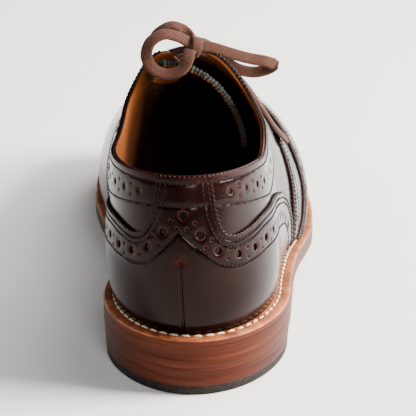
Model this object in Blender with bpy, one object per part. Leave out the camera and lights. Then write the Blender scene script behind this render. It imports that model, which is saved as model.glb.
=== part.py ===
"""A welted full brogue shoe for the right foot, laced and standing empty on its sole.

Metres, +Z up, toe along +Y, outer (lateral) side along +X. The last, the form that
the upper is shaped on, is one function: ribs that rise from the feather line, where
upper and welt meet, to the ridge over the instep. Every leather piece is a patch of it.
"""

import math
from collections import namedtuple

import bmesh
import bpy
import numpy as np
from mathutils import Vector

MM = 0.001
GAP = 0.3 * MM

# Driving sizes of the shoe
LAST_LENGTH = 284 * MM
HEEL_ROUND = 44 * MM
TOE_ROUND = 64 * MM
HEEL_AXIS = 42 * MM
HEEL_FAN = 62 * MM
TOE_ROLL = 24 * MM
TOE_FAN = 62 * MM
POLE = 0.8 * MM
SWELL_HEIGHT = 19 * MM
WALL = 2.0 * MM
OVERLAY = 1.2 * MM
OVERLAY_GAP = 0.4 * MM
ROWS = 10

# The bottom: layers, heel and profile along the foot
OUTSOLE_THICK = 4.6 * MM
WELT_THICK = 2.6 * MM
WELT_TUCK = 5.0 * MM
INSOLE_THICK = 2.5 * MM
LIFT_COUNT = 3
LIFT_THICK = 3.4 * MM
TOP_PIECE_THICK = 3.2 * MM
HEEL_TAPER = 1.0 * MM
BREAST = 70 * MM
BREAST_HOLLOW = 5 * MM
WAIST_START = 74 * MM
TREAD_START = 176 * MM
TREAD_END = 212 * MM
TOE_SPRING = 13 * MM

# The throat, tongue and lacing
FACING_TOP = 93 * MM
THROAT_END = 152 * MM
THROAT_GAP_TOP = 4.5 * MM
THROAT_GAP_END = 1.2 * MM
TONGUE_THICK = 1.8 * MM
BAR_COUNT = 5
BAR_FIRST = 103 * MM
BAR_LAST = 143 * MM
BAR_HALF_WIDTH = 2.6 * MM
BAR_REACH = 12 * MM
BAR_THICK = 1.6 * MM
LACE_RADIUS = 1.6 * MM

# Half breadths at the feather line from the middle line, that line's place across, and
# the welt's margin, in mm. Stations are shares of the last's length from the heel's back.
Plan = namedtuple("Plan", "station lateral medial middle margin_lateral margin_medial")
PLAN = (
    Plan(0.00, 29.0, 29.0, -1.2, 6.4, 6.2),
    Plan(0.16, 30.2, 29.4, -1.2, 7.0, 5.4),
    Plan(0.28, 34.2, 27.2, -1.0, 5.8, 4.4),
    Plan(0.43, 40.2, 28.8, -0.5, 5.2, 4.2),
    Plan(0.56, 43.6, 36.0, -0.5, 5.9, 5.0),
    Plan(0.64, 44.2, 40.8, -0.5, 6.3, 5.6),
    Plan(0.72, 43.8, 43.2, -1.0, 6.5, 6.0),
    Plan(0.82, 41.6, 43.0, -2.2, 6.5, 6.3),
    Plan(0.91, 38.2, 40.8, -4.0, 6.5, 6.5),
    Plan(1.00, 34.0, 36.5, -6.0, 6.5, 6.5),
)

# The ridge's height above the floor and its place across, the roundness of a rib (2 is
# an ellipse), the wall's swell beyond the feather line and its lean to the inner side
# at collar height, in mm.
Rib = namedtuple("Rib", "station ridge across roundness swell lean")
RIBS = (
    Rib(0.00, 145.0, -4.0, 2.2, 3.2, 2.6),
    Rib(0.18, 145.0, -4.0, 2.2, 2.0, 2.6),
    Rib(0.26, 143.0, -4.5, 2.1, 1.7, 3.2),
    Rib(0.295, 125.0, -4.8, 2.0, 1.6, 4.0),
    Rib(0.33, 105.5, -5.0, 1.95, 1.6, 1.6),
    Rib(0.38, 99.0, -5.5, 1.9, 1.6, 0.0),
    Rib(0.46, 89.5, -6.0, 1.85, 1.7, 0.0),
    Rib(0.55, 79.0, -6.5, 1.85, 2.0, 0.0),
    Rib(0.64, 69.0, -7.0, 1.95, 2.4, 0.0),
    Rib(0.72, 61.0, -7.0, 2.05, 2.6, 0.0),
    Rib(0.80, 54.5, -7.0, 2.2, 2.4, 0.0),
    Rib(0.88, 49.5, -6.5, 2.3, 2.2, 0.0),
    Rib(1.00, 44.5, -6.5, 2.4, 2.0, 0.0),
)
LEAN_HEIGHT = 58 * MM

# The topline's height above the floor on each side, from the back to the facing, in mm.
Topline = namedtuple("Topline", "station lateral medial")
TOPLINE = (
    Topline(0.00, 80.7, 80.7),
    Topline(0.09, 78.6, 79.4),
    Topline(0.19, 75.6, 78.6),
    Topline(0.26, 80.0, 83.0),
    Topline(0.30, 88.5, 91.0),
    Topline(0.33, 112.0, 112.0),
)


# The counter's top edge: height above the floor by distance from the back, in mm. The
# tab over the back seam is the step between the first rows.
Counter = namedtuple("Counter", "distance height")
COUNTER = (
    Counter(0.0, 79.4),
    Counter(10.2, 79.2),
    Counter(10.9, 68.0),
    Counter(12.4, 61.5),
    Counter(15.0, 57.8),
    Counter(19.0, 56.8),
    Counter(26.0, 57.6),
    Counter(38.0, 59.4),
    Counter(50.0, 59.2),
    Counter(66.0, 56.6),
    Counter(83.0, 52.8),
    Counter(100.0, 47.4),
    Counter(107.0, 43.0),
    Counter(111.0, 35.0),
    Counter(113.0, 24.5),
)

# Rear edges of the vamp and the wing cap: distance along the last by the share of the
# way up a rib, in mm.
Edge = namedtuple("Edge", "share along")
VAMP_EDGE = (
    Edge(0.00, 101.5),
    Edge(0.12, 106.5),
    Edge(0.21, 114.0),
    Edge(0.33, 124.0),
    Edge(0.49, 136.0),
    Edge(0.70, 147.0),
    Edge(1.00, 153.5),
)
WING_EDGE = (
    Edge(0.00, 119.0),
    Edge(0.12, 141.0),
    Edge(0.22, 158.0),
    Edge(0.35, 169.0),
    Edge(0.50, 179.0),
    Edge(0.65, 187.0),
    Edge(0.78, 190.0),
    Edge(0.90, 185.0),
    Edge(1.00, 177.0),
)

# The tongue's arch at its free end, in mm: centre, half widths, foot and height.
TONGUE_END = 86 * MM
TONGUE_FRONT = 160 * MM
TONGUE_SETTLE = 118 * MM
TONGUE_SINK = 3.4 * MM
TONGUE_LATERAL = 25 * MM
TONGUE_MEDIAL = 16 * MM
ARCH_MIDDLE = -13 * MM
ARCH_LATERAL = 32 * MM
ARCH_MEDIAL = 10 * MM
ARCH_FOOT = 61 * MM
ARCH_RISE = 40 * MM
ARCH_SPREAD = math.radians(82)
ARCH_SLOPE = 0.5
ARCH_DRIFT = 0.35

# Routes of the bow, in mm before centring: the way of the lace's middle line.
Route = namedtuple("Route", "x y z")
KNOT = (
    Route(0.8, 91.2, 107.4),
    Route(-1.2, 88.4, 109.6),
    Route(-4.0, 87.2, 109.0),
    Route(-5.4, 87.6, 106.4),
    Route(-4.2, 89.0, 104.6),
    Route(-1.2, 90.2, 104.8),
)
LOOP_LEFT = (
    Route(-8.8, 86.2, 112.2),
    Route(-13.8, 84.0, 113.2),
    Route(-19.0, 82.0, 110.2),
    Route(-20.3, 81.0, 105.3),
    Route(-17.8, 80.5, 100.4),
    Route(-12.2, 80.5, 98.2),
    Route(-6.4, 81.0, 100.0),
    Route(-4.0, 83.0, 103.6),
)
LOOP_RIGHT = (
    Route(4.8, 91.6, 107.4),
    Route(12.5, 94.0, 103.6),
    Route(20.5, 97.0, 100.6),
    Route(28.0, 99.5, 99.2),
    Route(30.2, 100.6, 96.6),
    Route(24.0, 100.0, 93.0),
    Route(17.0, 97.0, 95.8),
    Route(10.0, 92.6, 101.2),
)
END_LATERAL = (
    Route(3.8, 99.0, 106.0),
    Route(11.0, 101.5, 98.6),
    Route(20.0, 104.5, 88.6),
    Route(27.0, 111.0, 78.0),
    Route(33.4, 123.0, 66.0),
    Route(37.4, 137.0, 55.6),
)
END_MEDIAL = (
    Route(-4.0, 95.0, 109.2),
    Route(-10.5, 93.2, 114.7),
    Route(-17.6, 93.0, 111.0),
    Route(-20.6, 97.0, 102.5),
    Route(-20.9, 103.0, 92.5),
    Route(-21.6, 112.0, 84.5),
    Route(-23.0, 122.0, 77.6),
    Route(-24.4, 131.0, 71.6),
)


def smooth(places, values, at):
    """A curve through table values that never overshoots them."""
    places, values = np.asarray(places, float), np.asarray(values, float)
    at = np.clip(at, places[0], places[-1])
    steps = np.diff(places)
    slopes = np.diff(values) / steps
    tangents = np.zeros_like(values)
    tangents[0], tangents[-1] = slopes[0], slopes[-1]
    before, after = slopes[:-1], slopes[1:]
    same = before * after > 0
    total = np.where(same, before + after, 1.0)
    tangents[1:-1] = np.where(same, 2 * before * after / total, 0.0)
    left = np.clip(np.searchsorted(places, at, "right") - 1, 0, len(steps) - 1)
    t = (at - places[left]) / steps[left]
    rise = (1 + 2 * t) * (1 - t) ** 2 * values[left] + t**2 * (3 - 2 * t) * values[left + 1]
    lean = t * (1 - t) ** 2 * tangents[left] - t**2 * (1 - t) * tangents[left + 1]
    return rise + lean * steps[left]


def column(rows, name, along):
    """A table's column at a distance along the last, as metres."""
    places = [row.station for row in rows]
    values = [getattr(row, name) for row in rows]
    return smooth(places, values, along / LAST_LENGTH) * MM


def sole_height(along):
    """The height of the outsole's underside: flat seat, waist, flat tread, toe spring."""
    seat = TOP_PIECE_THICK + LIFT_COUNT * LIFT_THICK + (LIFT_COUNT + 1) * GAP
    t = np.clip((along - WAIST_START) / (TREAD_START - WAIST_START), 0, 1)
    waist = seat * (1 - t * t * (3 - 2 * t))
    toe = np.clip((along - TREAD_END) / (LAST_LENGTH - TREAD_END), 0, None)
    return waist + TOE_SPRING * toe**2


def welt_top(along):
    """The height of the welt's top face."""
    return sole_height(along) + OUTSOLE_THICK + GAP + WELT_THICK


def outline(turn):
    """The feather line in plan; turn runs 0 at the heel to 1 at the toe along the
    outer side, and on to 2 at the heel along the inner side."""
    turn = np.mod(turn, 2.0)
    outer = turn <= 1.0
    t = np.where(outer, turn, 2.0 - turn)
    along = distance_along(t)
    heel = np.clip(1 - along / HEEL_ROUND, 0, 1)
    toe = np.clip(1 - (LAST_LENGTH - along) / TOE_ROUND, 0, 1)
    rounding = (1 - heel**1.95) ** (1 / 1.95) * (1 - toe**2.2) ** (1 / 2.2)
    half = np.where(outer, column(PLAN, "lateral", along), -column(PLAN, "medial", along))
    across = column(PLAN, "middle", along) + half * rounding
    return across, along, np.where(outer, 1.0, -1.0)


def distance_along(t):
    """Distance along the last for a share of the way round a side: closer at the ends."""
    bend = 0.235
    heel = HEEL_ROUND * (1 - np.cos(np.clip(t / bend, 0, 1) * math.pi / 2))
    toe = TOE_ROUND * (1 - np.cos(np.clip((1 - t) / bend, 0, 1) * math.pi / 2))
    straight = (t - bend) / (1 - 2 * bend)
    middle = HEEL_ROUND + straight * (LAST_LENGTH - HEEL_ROUND - TOE_ROUND)
    return np.where(t < bend, heel, np.where(t > 1 - bend, LAST_LENGTH - toe, middle))


def ridge_place(along):
    """Where a rib's top stands along the last: ribs fan out round the heel and toe."""
    heel_power = HEEL_FAN / (HEEL_FAN - HEEL_AXIS)
    near_heel = HEEL_AXIS + (HEEL_FAN - HEEL_AXIS) * np.clip(along / HEEL_FAN, 0, 1) ** heel_power
    left = LAST_LENGTH - along
    toe_power = TOE_FAN / (TOE_FAN - TOE_ROLL)
    near_toe = TOE_ROLL + (TOE_FAN - TOE_ROLL) * np.clip(left / TOE_FAN, 0, 1) ** toe_power
    near_toe = np.where(near_toe < TOE_ROLL + POLE, TOE_ROLL, near_toe)
    place = np.where(along < HEEL_FAN, near_heel, along)
    return np.where(left < TOE_FAN, LAST_LENGTH - near_toe, place)


def rib(turn):
    """The foot, top, heights and shape of the rib at a place round the feather line."""
    across, along, _ = outline(turn)
    place = ridge_place(along)
    foot = np.stack([across, along], axis=-1)
    top = np.stack([column(RIBS, "across", place), place], axis=-1)
    low = welt_top(along) + GAP
    high = column(RIBS, "ridge", place)
    roundness = column(RIBS, "roundness", along) / MM
    swell = column(RIBS, "swell", along)
    lean = column(RIBS, "lean", along)
    return foot, top, low, high, roundness, swell, lean


def surface(turn, angle):
    """A point of the last: angle 0 is at the feather line and a right angle at the ridge."""
    foot, top, low, high, roundness, swell, lean = rib(turn)
    inward = 1 - np.clip(np.cos(angle), 0, 1) ** (2 / roundness)
    upward = np.clip(np.sin(angle), 0, 1) ** (2 / roundness)
    height = (high - low) * upward
    reach = np.linalg.norm(foot - top, axis=-1)
    swollen = swell * height / SWELL_HEIGHT * np.exp(1 - height / SWELL_HEIGHT)
    plan = foot + (top - foot) * (inward - swollen / reach)[..., None]
    plan[..., 0] -= lean * height / LEAN_HEIGHT
    return np.concatenate([plan, (low + height)[..., None]], axis=-1)


def skin(turn, angle, lift=0.0):
    """A point of the last moved out along its normal by lift, kept clear of the welt."""
    turn, angle = np.broadcast_arrays(np.asarray(turn, float), np.asarray(angle, float))
    turn_step, angle_step = 2e-3, 4e-3
    low = np.clip(angle - angle_step, 0, math.pi / 2)
    high = np.clip(angle + angle_step, 0, math.pi / 2)
    below = np.minimum(angle, math.pi / 2 - 0.06)
    round_way = surface(turn + turn_step, below) - surface(turn - turn_step, below)
    up_way = surface(turn, high) - surface(turn, low)
    normal = np.cross(round_way, up_way)
    normal /= np.linalg.norm(normal, axis=-1, keepdims=True)
    point = surface(turn, angle) + normal * np.asarray(lift)[..., None]
    point[..., 2] = np.maximum(point[..., 2], welt_top(point[..., 1]) + GAP)
    return point


def angle_at_height(turn, height):
    """The rib angle that reaches a height above the floor."""
    _, _, low, high, roundness, _, _ = rib(turn)
    share = np.clip((height - low) / (high - low), 0, 1)
    return np.arcsin(share ** (roundness / 2))


def angle_at_gap(turn, gap):
    """The rib angle that stops short of the ridge by a distance."""
    foot, top, _, _, roundness, _, _ = rib(turn)
    reach = np.linalg.norm(foot - top, axis=-1)
    return np.arccos(np.clip(gap / reach, 0, 1) ** (roundness / 2))


def throat_gap(along):
    """Half the space between the facings."""
    t = np.clip((along - FACING_TOP) / (THROAT_END - FACING_TOP), 0, 1)
    return THROAT_GAP_TOP + (THROAT_GAP_END - THROAT_GAP_TOP) * t


def upper_edge(turn):
    """The rib angle where the upper ends: topline, facing, or the ridge past the throat."""
    _, along, side = outline(turn)
    line = np.where(side > 0, column(TOPLINE, "lateral", along), column(TOPLINE, "medial", along))
    facing = angle_at_gap(turn, throat_gap(along))
    collar = np.minimum(angle_at_height(turn, line), facing)
    edge = np.where(along < FACING_TOP, collar, facing)
    return np.where(along < THROAT_END - MM / 100, edge, math.pi / 2)


def turn_at(distance):
    """The turn at a distance from the heel's back along the feather line, outer side up."""
    turns = np.linspace(-1.0, 1.0, 1201)
    across, along, _ = outline(turns)
    steps = np.hypot(np.diff(across), np.diff(along))
    lengths = np.concatenate([[0.0], np.cumsum(steps)])
    lengths -= np.interp(0.0, turns, lengths)
    return np.interp(distance, lengths, turns)


def turn_along(along, side):
    """The turn on one side at a distance along the last."""
    shares = np.linspace(0.0, 1.0, 1201)
    share = np.interp(along, distance_along(shares), shares)
    return np.where(side > 0, share, 2.0 - share)


class Solid:
    """One piece of the shoe while its corners and faces are worked out."""

    def __init__(self, name, material):
        self.name = name
        self.material = material
        self.points = []
        self.faces = []

    def add(self, grid):
        """Add a grid of points and give back the grid of their numbers."""
        flat = grid.reshape(-1, 3)
        numbers = np.arange(len(self.points), len(self.points) + len(flat))
        self.points.extend(flat.tolist())
        return numbers.reshape(grid.shape[:-1])

    def strip(self, first, second):
        """Faces between two rows of points."""
        for i in range(len(first) - 1):
            self.faces.append((first[i], first[i + 1], second[i + 1], second[i]))

    def sheet(self, numbers):
        """Faces over a whole grid of points."""
        for first, second in zip(numbers[:-1], numbers[1:]):
            self.strip(first, second)


def shell(name, material, outer, inner, joined=None, closed=False):
    """A wall between two grids (places round, rows up). Places flagged in joined meet
    their partner of the other side at the ridge; closed walls run all the way round."""
    if joined is None:
        joined = np.zeros(len(outer), bool)
    for grid in (outer, inner):
        top = grid[:, -1].copy()
        partner = np.roll(top[::-1], 1, axis=0) if closed else top[::-1]
        grid[joined, -1] = (top[joined] + partner[joined]) / 2
    solid = Solid(name, material)
    out, into = solid.add(outer), solid.add(inner)
    if closed:
        out = np.concatenate([out, out[:1]])
        into = np.concatenate([into, into[:1]])
        joined = np.concatenate([joined, joined[:1]])
    else:
        solid.strip(out[0], into[0])
        solid.strip(out[-1], into[-1])
    solid.sheet(out)
    solid.sheet(into)
    solid.strip(out[:, 0], into[:, 0])
    for i in range(len(out) - 1):
        if not (joined[i] and joined[i + 1]):
            solid.faces.append((out[i, -1], out[i + 1, -1], into[i + 1, -1], into[i, -1]))
    return solid


def thickened(grid, thickness):
    """A copy of a grid moved along its own normals."""
    normal = np.cross(np.gradient(grid, axis=0), np.gradient(grid, axis=1))
    normal /= np.linalg.norm(normal, axis=-1, keepdims=True)
    return grid + normal * thickness


def margin_line(turn, extra=0.0):
    """The welt's outer edge in plan, moved in by a negative extra."""
    across, along, side = outline(turn)
    next_across, next_along, _ = outline(turn + 2e-3)
    last_across, last_along, _ = outline(turn - 2e-3)
    way = np.stack([next_across - last_across, next_along - last_along], axis=-1)
    way /= np.linalg.norm(way, axis=-1, keepdims=True)
    lateral, medial = column(PLAN, "margin_lateral", along), column(PLAN, "margin_medial", along)
    share = np.clip(np.abs(across - column(PLAN, "middle", along)) / (12 * MM), 0, 1) * side
    margin = (lateral + medial) / 2 + (lateral - medial) / 2 * share
    return np.stack([across, along], axis=-1), np.stack([way[:, 1], -way[:, 0]], axis=-1), margin


def plan_line(turn, extra, from_feather=False):
    """Plan points of a line at a distance beyond the welt's edge or the feather line."""
    foot, normal, margin = margin_line(turn)
    reach = extra if from_feather else margin + extra
    return foot + normal * np.broadcast_to(reach, len(turn))[:, None]


def slab(name, material, lateral, medial, bottom, top, columns=2, hollow=0.0):
    """A plate between two edge lines of equal count, with heights given along the foot;
    hollow draws its front edge back in an arc."""
    share = np.linspace(0, 1, columns)[None, :, None]
    plan = lateral[:, None] * (1 - share) + medial[:, None] * share
    arc = hollow * (1 - (2 * share[..., 0] - 1) ** 2)
    fade = np.linspace(0, 1, len(lateral))[:, None] ** 3
    plan[..., 1] -= arc * fade
    low = np.concatenate([plan, bottom(plan[..., 1])[..., None]], axis=-1)
    high = np.concatenate([plan, top(plan[..., 1])[..., None]], axis=-1)
    return shell(name, material, high, low)


def overlay_rows(count):
    """Shares of the way up a rib, closer near the feather line."""
    return np.linspace(0, 1, count) ** 1.4


def make_upper():
    """The hollow upper, open at the collar, down the throat and underneath."""
    keys = [turn_along(place, 1.0) for place in (FACING_TOP, THROAT_END)]
    heel = np.linspace(0, keys[0], 18)
    throat = np.linspace(keys[0], keys[1], 8)
    toe = np.linspace(keys[1], 1.0, 19)
    shares = np.concatenate([heel, throat[1:], toe[1:]])
    turns = np.concatenate([shares, 2.0 - shares[-2:0:-1]])
    angles = upper_edge(turns)[:, None] * overlay_rows(ROWS)[None]
    places = np.broadcast_to(turns[:, None], angles.shape)
    joined = outline(turns)[1] > THROAT_END - MM / 100
    return shell("upper", LEATHER, skin(places, angles), skin(places, angles, -WALL), joined, closed=True)


def make_counter():
    """The counter over the heel, with its tab over the back seam."""
    knots = np.array([row.distance for row in COUNTER])
    spans = np.diff(knots)
    half = np.sort(np.concatenate([knots, (knots[:-1] + spans / 2)[spans > 5]]))
    distance = np.concatenate([-half[:0:-1], half]) * MM
    turns = turn_at(distance)
    heights = [row.height for row in COUNTER]
    height = np.interp(np.abs(distance) / MM, knots, heights) * MM
    angles = angle_at_height(turns, height)[:, None] * overlay_rows(8)[None]
    places = np.broadcast_to(turns[:, None], angles.shape)
    return shell("counter", LEATHER, skin(places, angles, OVERLAY_GAP + OVERLAY),
                 skin(places, angles, OVERLAY_GAP))


def make_front(name, edge, lift, count):
    """A piece over the toe, from its rear edge on one side round to the other."""
    rows = overlay_rows(ROWS)
    places = smooth([row.share for row in edge], [row.along for row in edge], rows) * MM
    first, last = turn_along(places, 1.0), turn_along(places, -1.0)
    share = np.linspace(0, 1, count)[:, None]
    turns = first[None] * (1 - share) + last[None] * share
    angles = np.broadcast_to(rows[None] * math.pi / 2, turns.shape)
    outer, inner = skin(turns, angles, lift + OVERLAY), skin(turns, angles, lift)
    return shell(name, LEATHER, outer, inner, np.ones(count, bool))


def make_tongue():
    """The tongue: an arch at its free end that settles under the facings."""
    across = np.linspace(-1, 1, 13)[None]
    along = np.linspace(TONGUE_END, TONGUE_FRONT, 12)[:, None]
    lean = across * ARCH_SPREAD
    width = np.where(across > 0, ARCH_LATERAL, ARCH_MEDIAL)
    height = ARCH_FOOT + ARCH_RISE * np.cos(lean) - ARCH_SLOPE * (along - TONGUE_END)
    middle = ARCH_MIDDLE + ARCH_DRIFT * (along - TONGUE_END)
    arch = np.stack(np.broadcast_arrays(middle + width * np.sin(lean), along, height), axis=-1)
    turns = turn_along(np.broadcast_to(along, arch.shape[:2]), np.broadcast_to(across, arch.shape[:2]))
    reach = np.where(across > 0, TONGUE_LATERAL, TONGUE_MEDIAL)
    angles = angle_at_gap(turns, np.abs(across) * reach)
    under = skin(turns, angles, -WALL - TONGUE_SINK)
    t = np.clip((along - TONGUE_END) / (TONGUE_SETTLE - TONGUE_END), 0, 1)[..., None]
    settle = t * t * (3 - 2 * t)
    grid = arch * (1 - settle) + under * settle
    return shell("tongue", TONGUE, thickened(grid, -TONGUE_THICK / 2), thickened(grid, TONGUE_THICK / 2))


def make_bar(number):
    """One bar of the lace, straight over the throat from eyelet to eyelet."""
    middle = BAR_FIRST + (BAR_LAST - BAR_FIRST) * number / (BAR_COUNT - 1)
    along = (middle + BAR_HALF_WIDTH * np.array([-1.0, 0.0, 1.0]))[:, None]
    across = np.linspace(-1, 1, 9)[None]
    turns = turn_along(np.broadcast_to(along, (3, 9)), np.broadcast_to(across, (3, 9)))
    angles = angle_at_gap(turns, np.abs(across) * BAR_REACH)
    outer = skin(turns, angles, OVERLAY_GAP + BAR_THICK)
    return shell(f"lace_bar_{number + 1}", LACE, outer, skin(turns, angles, OVERLAY_GAP))


def make_bottom():
    """Outsole, welt, insole, heel lifts and the rubber top piece."""
    shares = np.linspace(0, 1, 41)
    lateral, medial = plan_line(shares, 0.0), plan_line(2.0 - shares, 0.0)
    pieces = [slab("outsole", SOLE, lateral, medial, sole_height, lambda y: sole_height(y) + OUTSOLE_THICK)]

    turns = np.linspace(0, 2, 65)[:-1]
    edges = np.stack([plan_line(turns, -WELT_TUCK, True), plan_line(turns, 0.0)], axis=1)
    heights = welt_top(edges[..., 1])
    high = np.concatenate([edges, heights[..., None]], axis=-1)
    low = np.concatenate([edges, heights[..., None] - WELT_THICK], axis=-1)
    pieces.append(shell("welt", SOLE, high, low, closed=True))

    inset = -WALL - 0.8 * MM
    lateral, medial = plan_line(shares, inset, True), plan_line(2.0 - shares, inset, True)
    pieces.append(slab("insole", LINING, lateral, medial, lambda y: welt_top(y) + GAP,
                       lambda y: welt_top(y) + GAP + INSOLE_THICK))

    end = turn_along(BREAST, 1.0)
    shares = np.linspace(0, end, 14)
    base = 0.0
    for number in range(LIFT_COUNT + 1):
        name = "heel_top_piece" if number == 0 else f"heel_lift_{LIFT_COUNT + 1 - number}"
        thick = TOP_PIECE_THICK if number == 0 else LIFT_THICK
        seat = sole_height(0.0)
        inset = -HEEL_TAPER * (1 - (base + thick / 2) / seat)
        lateral, medial = plan_line(shares, inset), plan_line(2.0 - shares, inset)
        low, high = base, base + thick
        pieces.append(slab(name, RUBBER if number == 0 else STACK, lateral, medial,
                           lambda y, low=low: np.full_like(y, low),
                           lambda y, high=high: np.full_like(y, high), 5, BREAST_HOLLOW))
        base = high + GAP
    return pieces


def smooth_route(rows, count):
    """Points at even steps on a smooth curve through a route's places."""
    places = np.array(rows, float) * MM
    steps = np.linalg.norm(np.diff(places, axis=0), axis=1)
    at = np.concatenate([[0.0], np.cumsum(steps)])
    tangents = np.gradient(places, at, axis=0)
    fine = np.linspace(0, at[-1], 400)
    left = np.clip(np.searchsorted(at, fine, "right") - 1, 0, len(steps) - 1)
    t = ((fine - at[left]) / steps[left])[:, None]
    span = steps[left][:, None]
    curve = (1 + 2 * t) * (1 - t) ** 2 * places[left] + t**2 * (3 - 2 * t) * places[left + 1]
    curve = curve + span * (t * (1 - t) ** 2 * tangents[left] - t**2 * (1 - t) * tangents[left + 1])
    run = np.concatenate([[0.0], np.cumsum(np.linalg.norm(np.diff(curve, axis=0), axis=1))])
    even = np.linspace(0, run[-1], count)
    return np.stack([np.interp(even, run, curve[:, axis]) for axis in range(3)], axis=1)


def material(name, colour, roughness):
    """A plain Principled material."""
    made = bpy.data.materials.new(name)
    made.use_nodes = True
    shader = made.node_tree.nodes["Principled BSDF"]
    shader.inputs["Base Color"].default_value = (*colour, 1.0)
    shader.inputs["Roughness"].default_value = roughness
    return made


def place_solid(solid, centre, collection):
    """Make a solid's object, with doubled corners welded and faces turned outward."""
    mesh = bpy.data.meshes.new(solid.name)
    points = np.array(solid.points) - centre
    work = bmesh.new()
    corners = [work.verts.new(Vector(point)) for point in points]
    for face in solid.faces:
        work.faces.new([corners[i] for i in face])
    bmesh.ops.remove_doubles(work, verts=work.verts, dist=MM / 200)
    bmesh.ops.recalc_face_normals(work, faces=work.faces)
    work.to_mesh(mesh)
    work.free()
    mesh.materials.append(solid.material)
    collection.objects.link(bpy.data.objects.new(solid.name, mesh))


def place_cord(name, rows, count, centre, collection):
    """A cord of the bow as a round tube along its route."""
    curve = bpy.data.curves.new(name, "CURVE")
    curve.dimensions = "3D"
    curve.bevel_depth = LACE_RADIUS
    curve.bevel_resolution = 2
    curve.use_fill_caps = True
    points = smooth_route(rows, count) - centre
    spline = curve.splines.new("POLY")
    spline.points.add(count - 1)
    for target, point in zip(spline.points, points):
        target.co = (*point, 1.0)
    curve.materials.append(LACE)
    collection.objects.link(bpy.data.objects.new(name, curve))


for old in list(bpy.data.objects):
    bpy.data.objects.remove(old, do_unlink=True)

LEATHER = material("burgundy_leather", (0.045, 0.008, 0.010), 0.2)
TONGUE = material("tongue_leather", (0.05, 0.053, 0.045), 0.75)
LINING = material("tan_lining", (0.42, 0.19, 0.07), 0.6)
SOLE = material("sole_leather", (0.24, 0.075, 0.032), 0.45)
STACK = material("heel_stack", (0.22, 0.065, 0.028), 0.45)
RUBBER = material("heel_rubber", (0.025, 0.016, 0.013), 0.7)
LACE = material("brown_lace", (0.13, 0.055, 0.035), 0.85)

SHOE = bpy.data.collections.new("brogue_shoe")
bpy.context.scene.collection.children.link(SHOE)

SOLIDS = make_bottom()
SOLIDS.append(make_upper())
SOLIDS.append(make_counter())
SOLIDS.append(make_front("vamp", VAMP_EDGE, OVERLAY_GAP, 43))
SOLIDS.append(make_front("wing_cap", WING_EDGE, 2.4 * OVERLAY_GAP + OVERLAY, 41))
SOLIDS.append(make_tongue())
SOLIDS.extend(make_bar(number) for number in range(BAR_COUNT))

EVERY = np.concatenate([np.array(solid.points) for solid in SOLIDS])
MIDDLE = (EVERY.min(axis=0) + EVERY.max(axis=0)) / 2
MIDDLE[2] = 0.0
for each in SOLIDS:
    place_solid(each, MIDDLE, SHOE)

place_cord("bow_knot", KNOT, 9, MIDDLE, SHOE)
place_cord("bow_loop_left", LOOP_LEFT, 17, MIDDLE, SHOE)
place_cord("bow_loop_right", LOOP_RIGHT, 19, MIDDLE, SHOE)
place_cord("lace_end_lateral", END_LATERAL, 17, MIDDLE, SHOE)
place_cord("lace_end_medial", END_MEDIAL, 17, MIDDLE, SHOE)
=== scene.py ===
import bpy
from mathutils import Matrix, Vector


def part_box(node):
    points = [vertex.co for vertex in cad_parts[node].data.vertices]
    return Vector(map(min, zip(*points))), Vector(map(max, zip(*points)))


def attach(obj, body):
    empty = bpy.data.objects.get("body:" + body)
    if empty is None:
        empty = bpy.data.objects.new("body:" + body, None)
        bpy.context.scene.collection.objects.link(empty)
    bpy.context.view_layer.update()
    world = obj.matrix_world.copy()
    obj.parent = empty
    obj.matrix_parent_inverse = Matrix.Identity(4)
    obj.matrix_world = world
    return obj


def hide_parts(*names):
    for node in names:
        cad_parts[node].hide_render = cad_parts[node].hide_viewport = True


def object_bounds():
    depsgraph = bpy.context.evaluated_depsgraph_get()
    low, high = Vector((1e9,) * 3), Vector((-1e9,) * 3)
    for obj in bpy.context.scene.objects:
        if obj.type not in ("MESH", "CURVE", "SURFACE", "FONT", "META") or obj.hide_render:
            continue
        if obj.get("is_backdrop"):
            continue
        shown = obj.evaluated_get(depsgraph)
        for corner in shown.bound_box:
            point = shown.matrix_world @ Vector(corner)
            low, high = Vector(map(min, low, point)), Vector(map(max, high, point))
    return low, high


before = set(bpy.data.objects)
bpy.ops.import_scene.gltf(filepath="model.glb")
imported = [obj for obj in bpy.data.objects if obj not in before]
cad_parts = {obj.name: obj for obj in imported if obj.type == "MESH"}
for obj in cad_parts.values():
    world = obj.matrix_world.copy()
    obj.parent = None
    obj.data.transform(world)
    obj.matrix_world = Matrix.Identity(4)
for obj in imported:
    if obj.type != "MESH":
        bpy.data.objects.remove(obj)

"""The looks of a welted full brogue shoe: polished burgundy leather, stitched and punched,
laid on the same last as the CAD solids, with its welted leather sole, tongue and lace."""

import logging
import math
from dataclasses import dataclass, field
from enum import Enum
from typing import Callable, Iterator, NamedTuple, Optional, Sequence, Union

import bpy
import numpy as np
from mathutils import Vector
from mathutils.geometry import delaunay_2d_cdt

Array = np.ndarray
Colour = tuple[float, float, float]
# A place on the heel's pattern: distance round from the back seam and height above the floor, mm.
Spot = tuple[float, float]
# A place on a forepart's rear edge: share of the way up a rib and distance along, mm.
RearEdge = tuple[float, float]
# A place in space; the lace's are before centring, mm.
Way = tuple[float, float, float]
# How a hole's rim is pressed: depth, width, burnish and the burnish's width.
Press = tuple[float, float, float, float]
WARM: Colour = (1.0, 0.955, 0.91)
MM = 0.001
RIGHT_ANGLE = math.pi / 2
ROUTE_STEPS = 400
BLOCK = 2000
CAD_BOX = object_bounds()
Material = bpy.types.Material
Piece = bpy.types.Object
log = logging.getLogger("brogue")


class Slot(Enum):
    """The material slots."""

    LEATHER = "burgundy_leather"
    TONGUE = "tongue_leather"
    LINING = "tan_lining"
    SOLE = "sole_leather"
    STACK = "heel_stack"
    RUBBER = "heel_rubber"
    LACE = "brown_lace"


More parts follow.
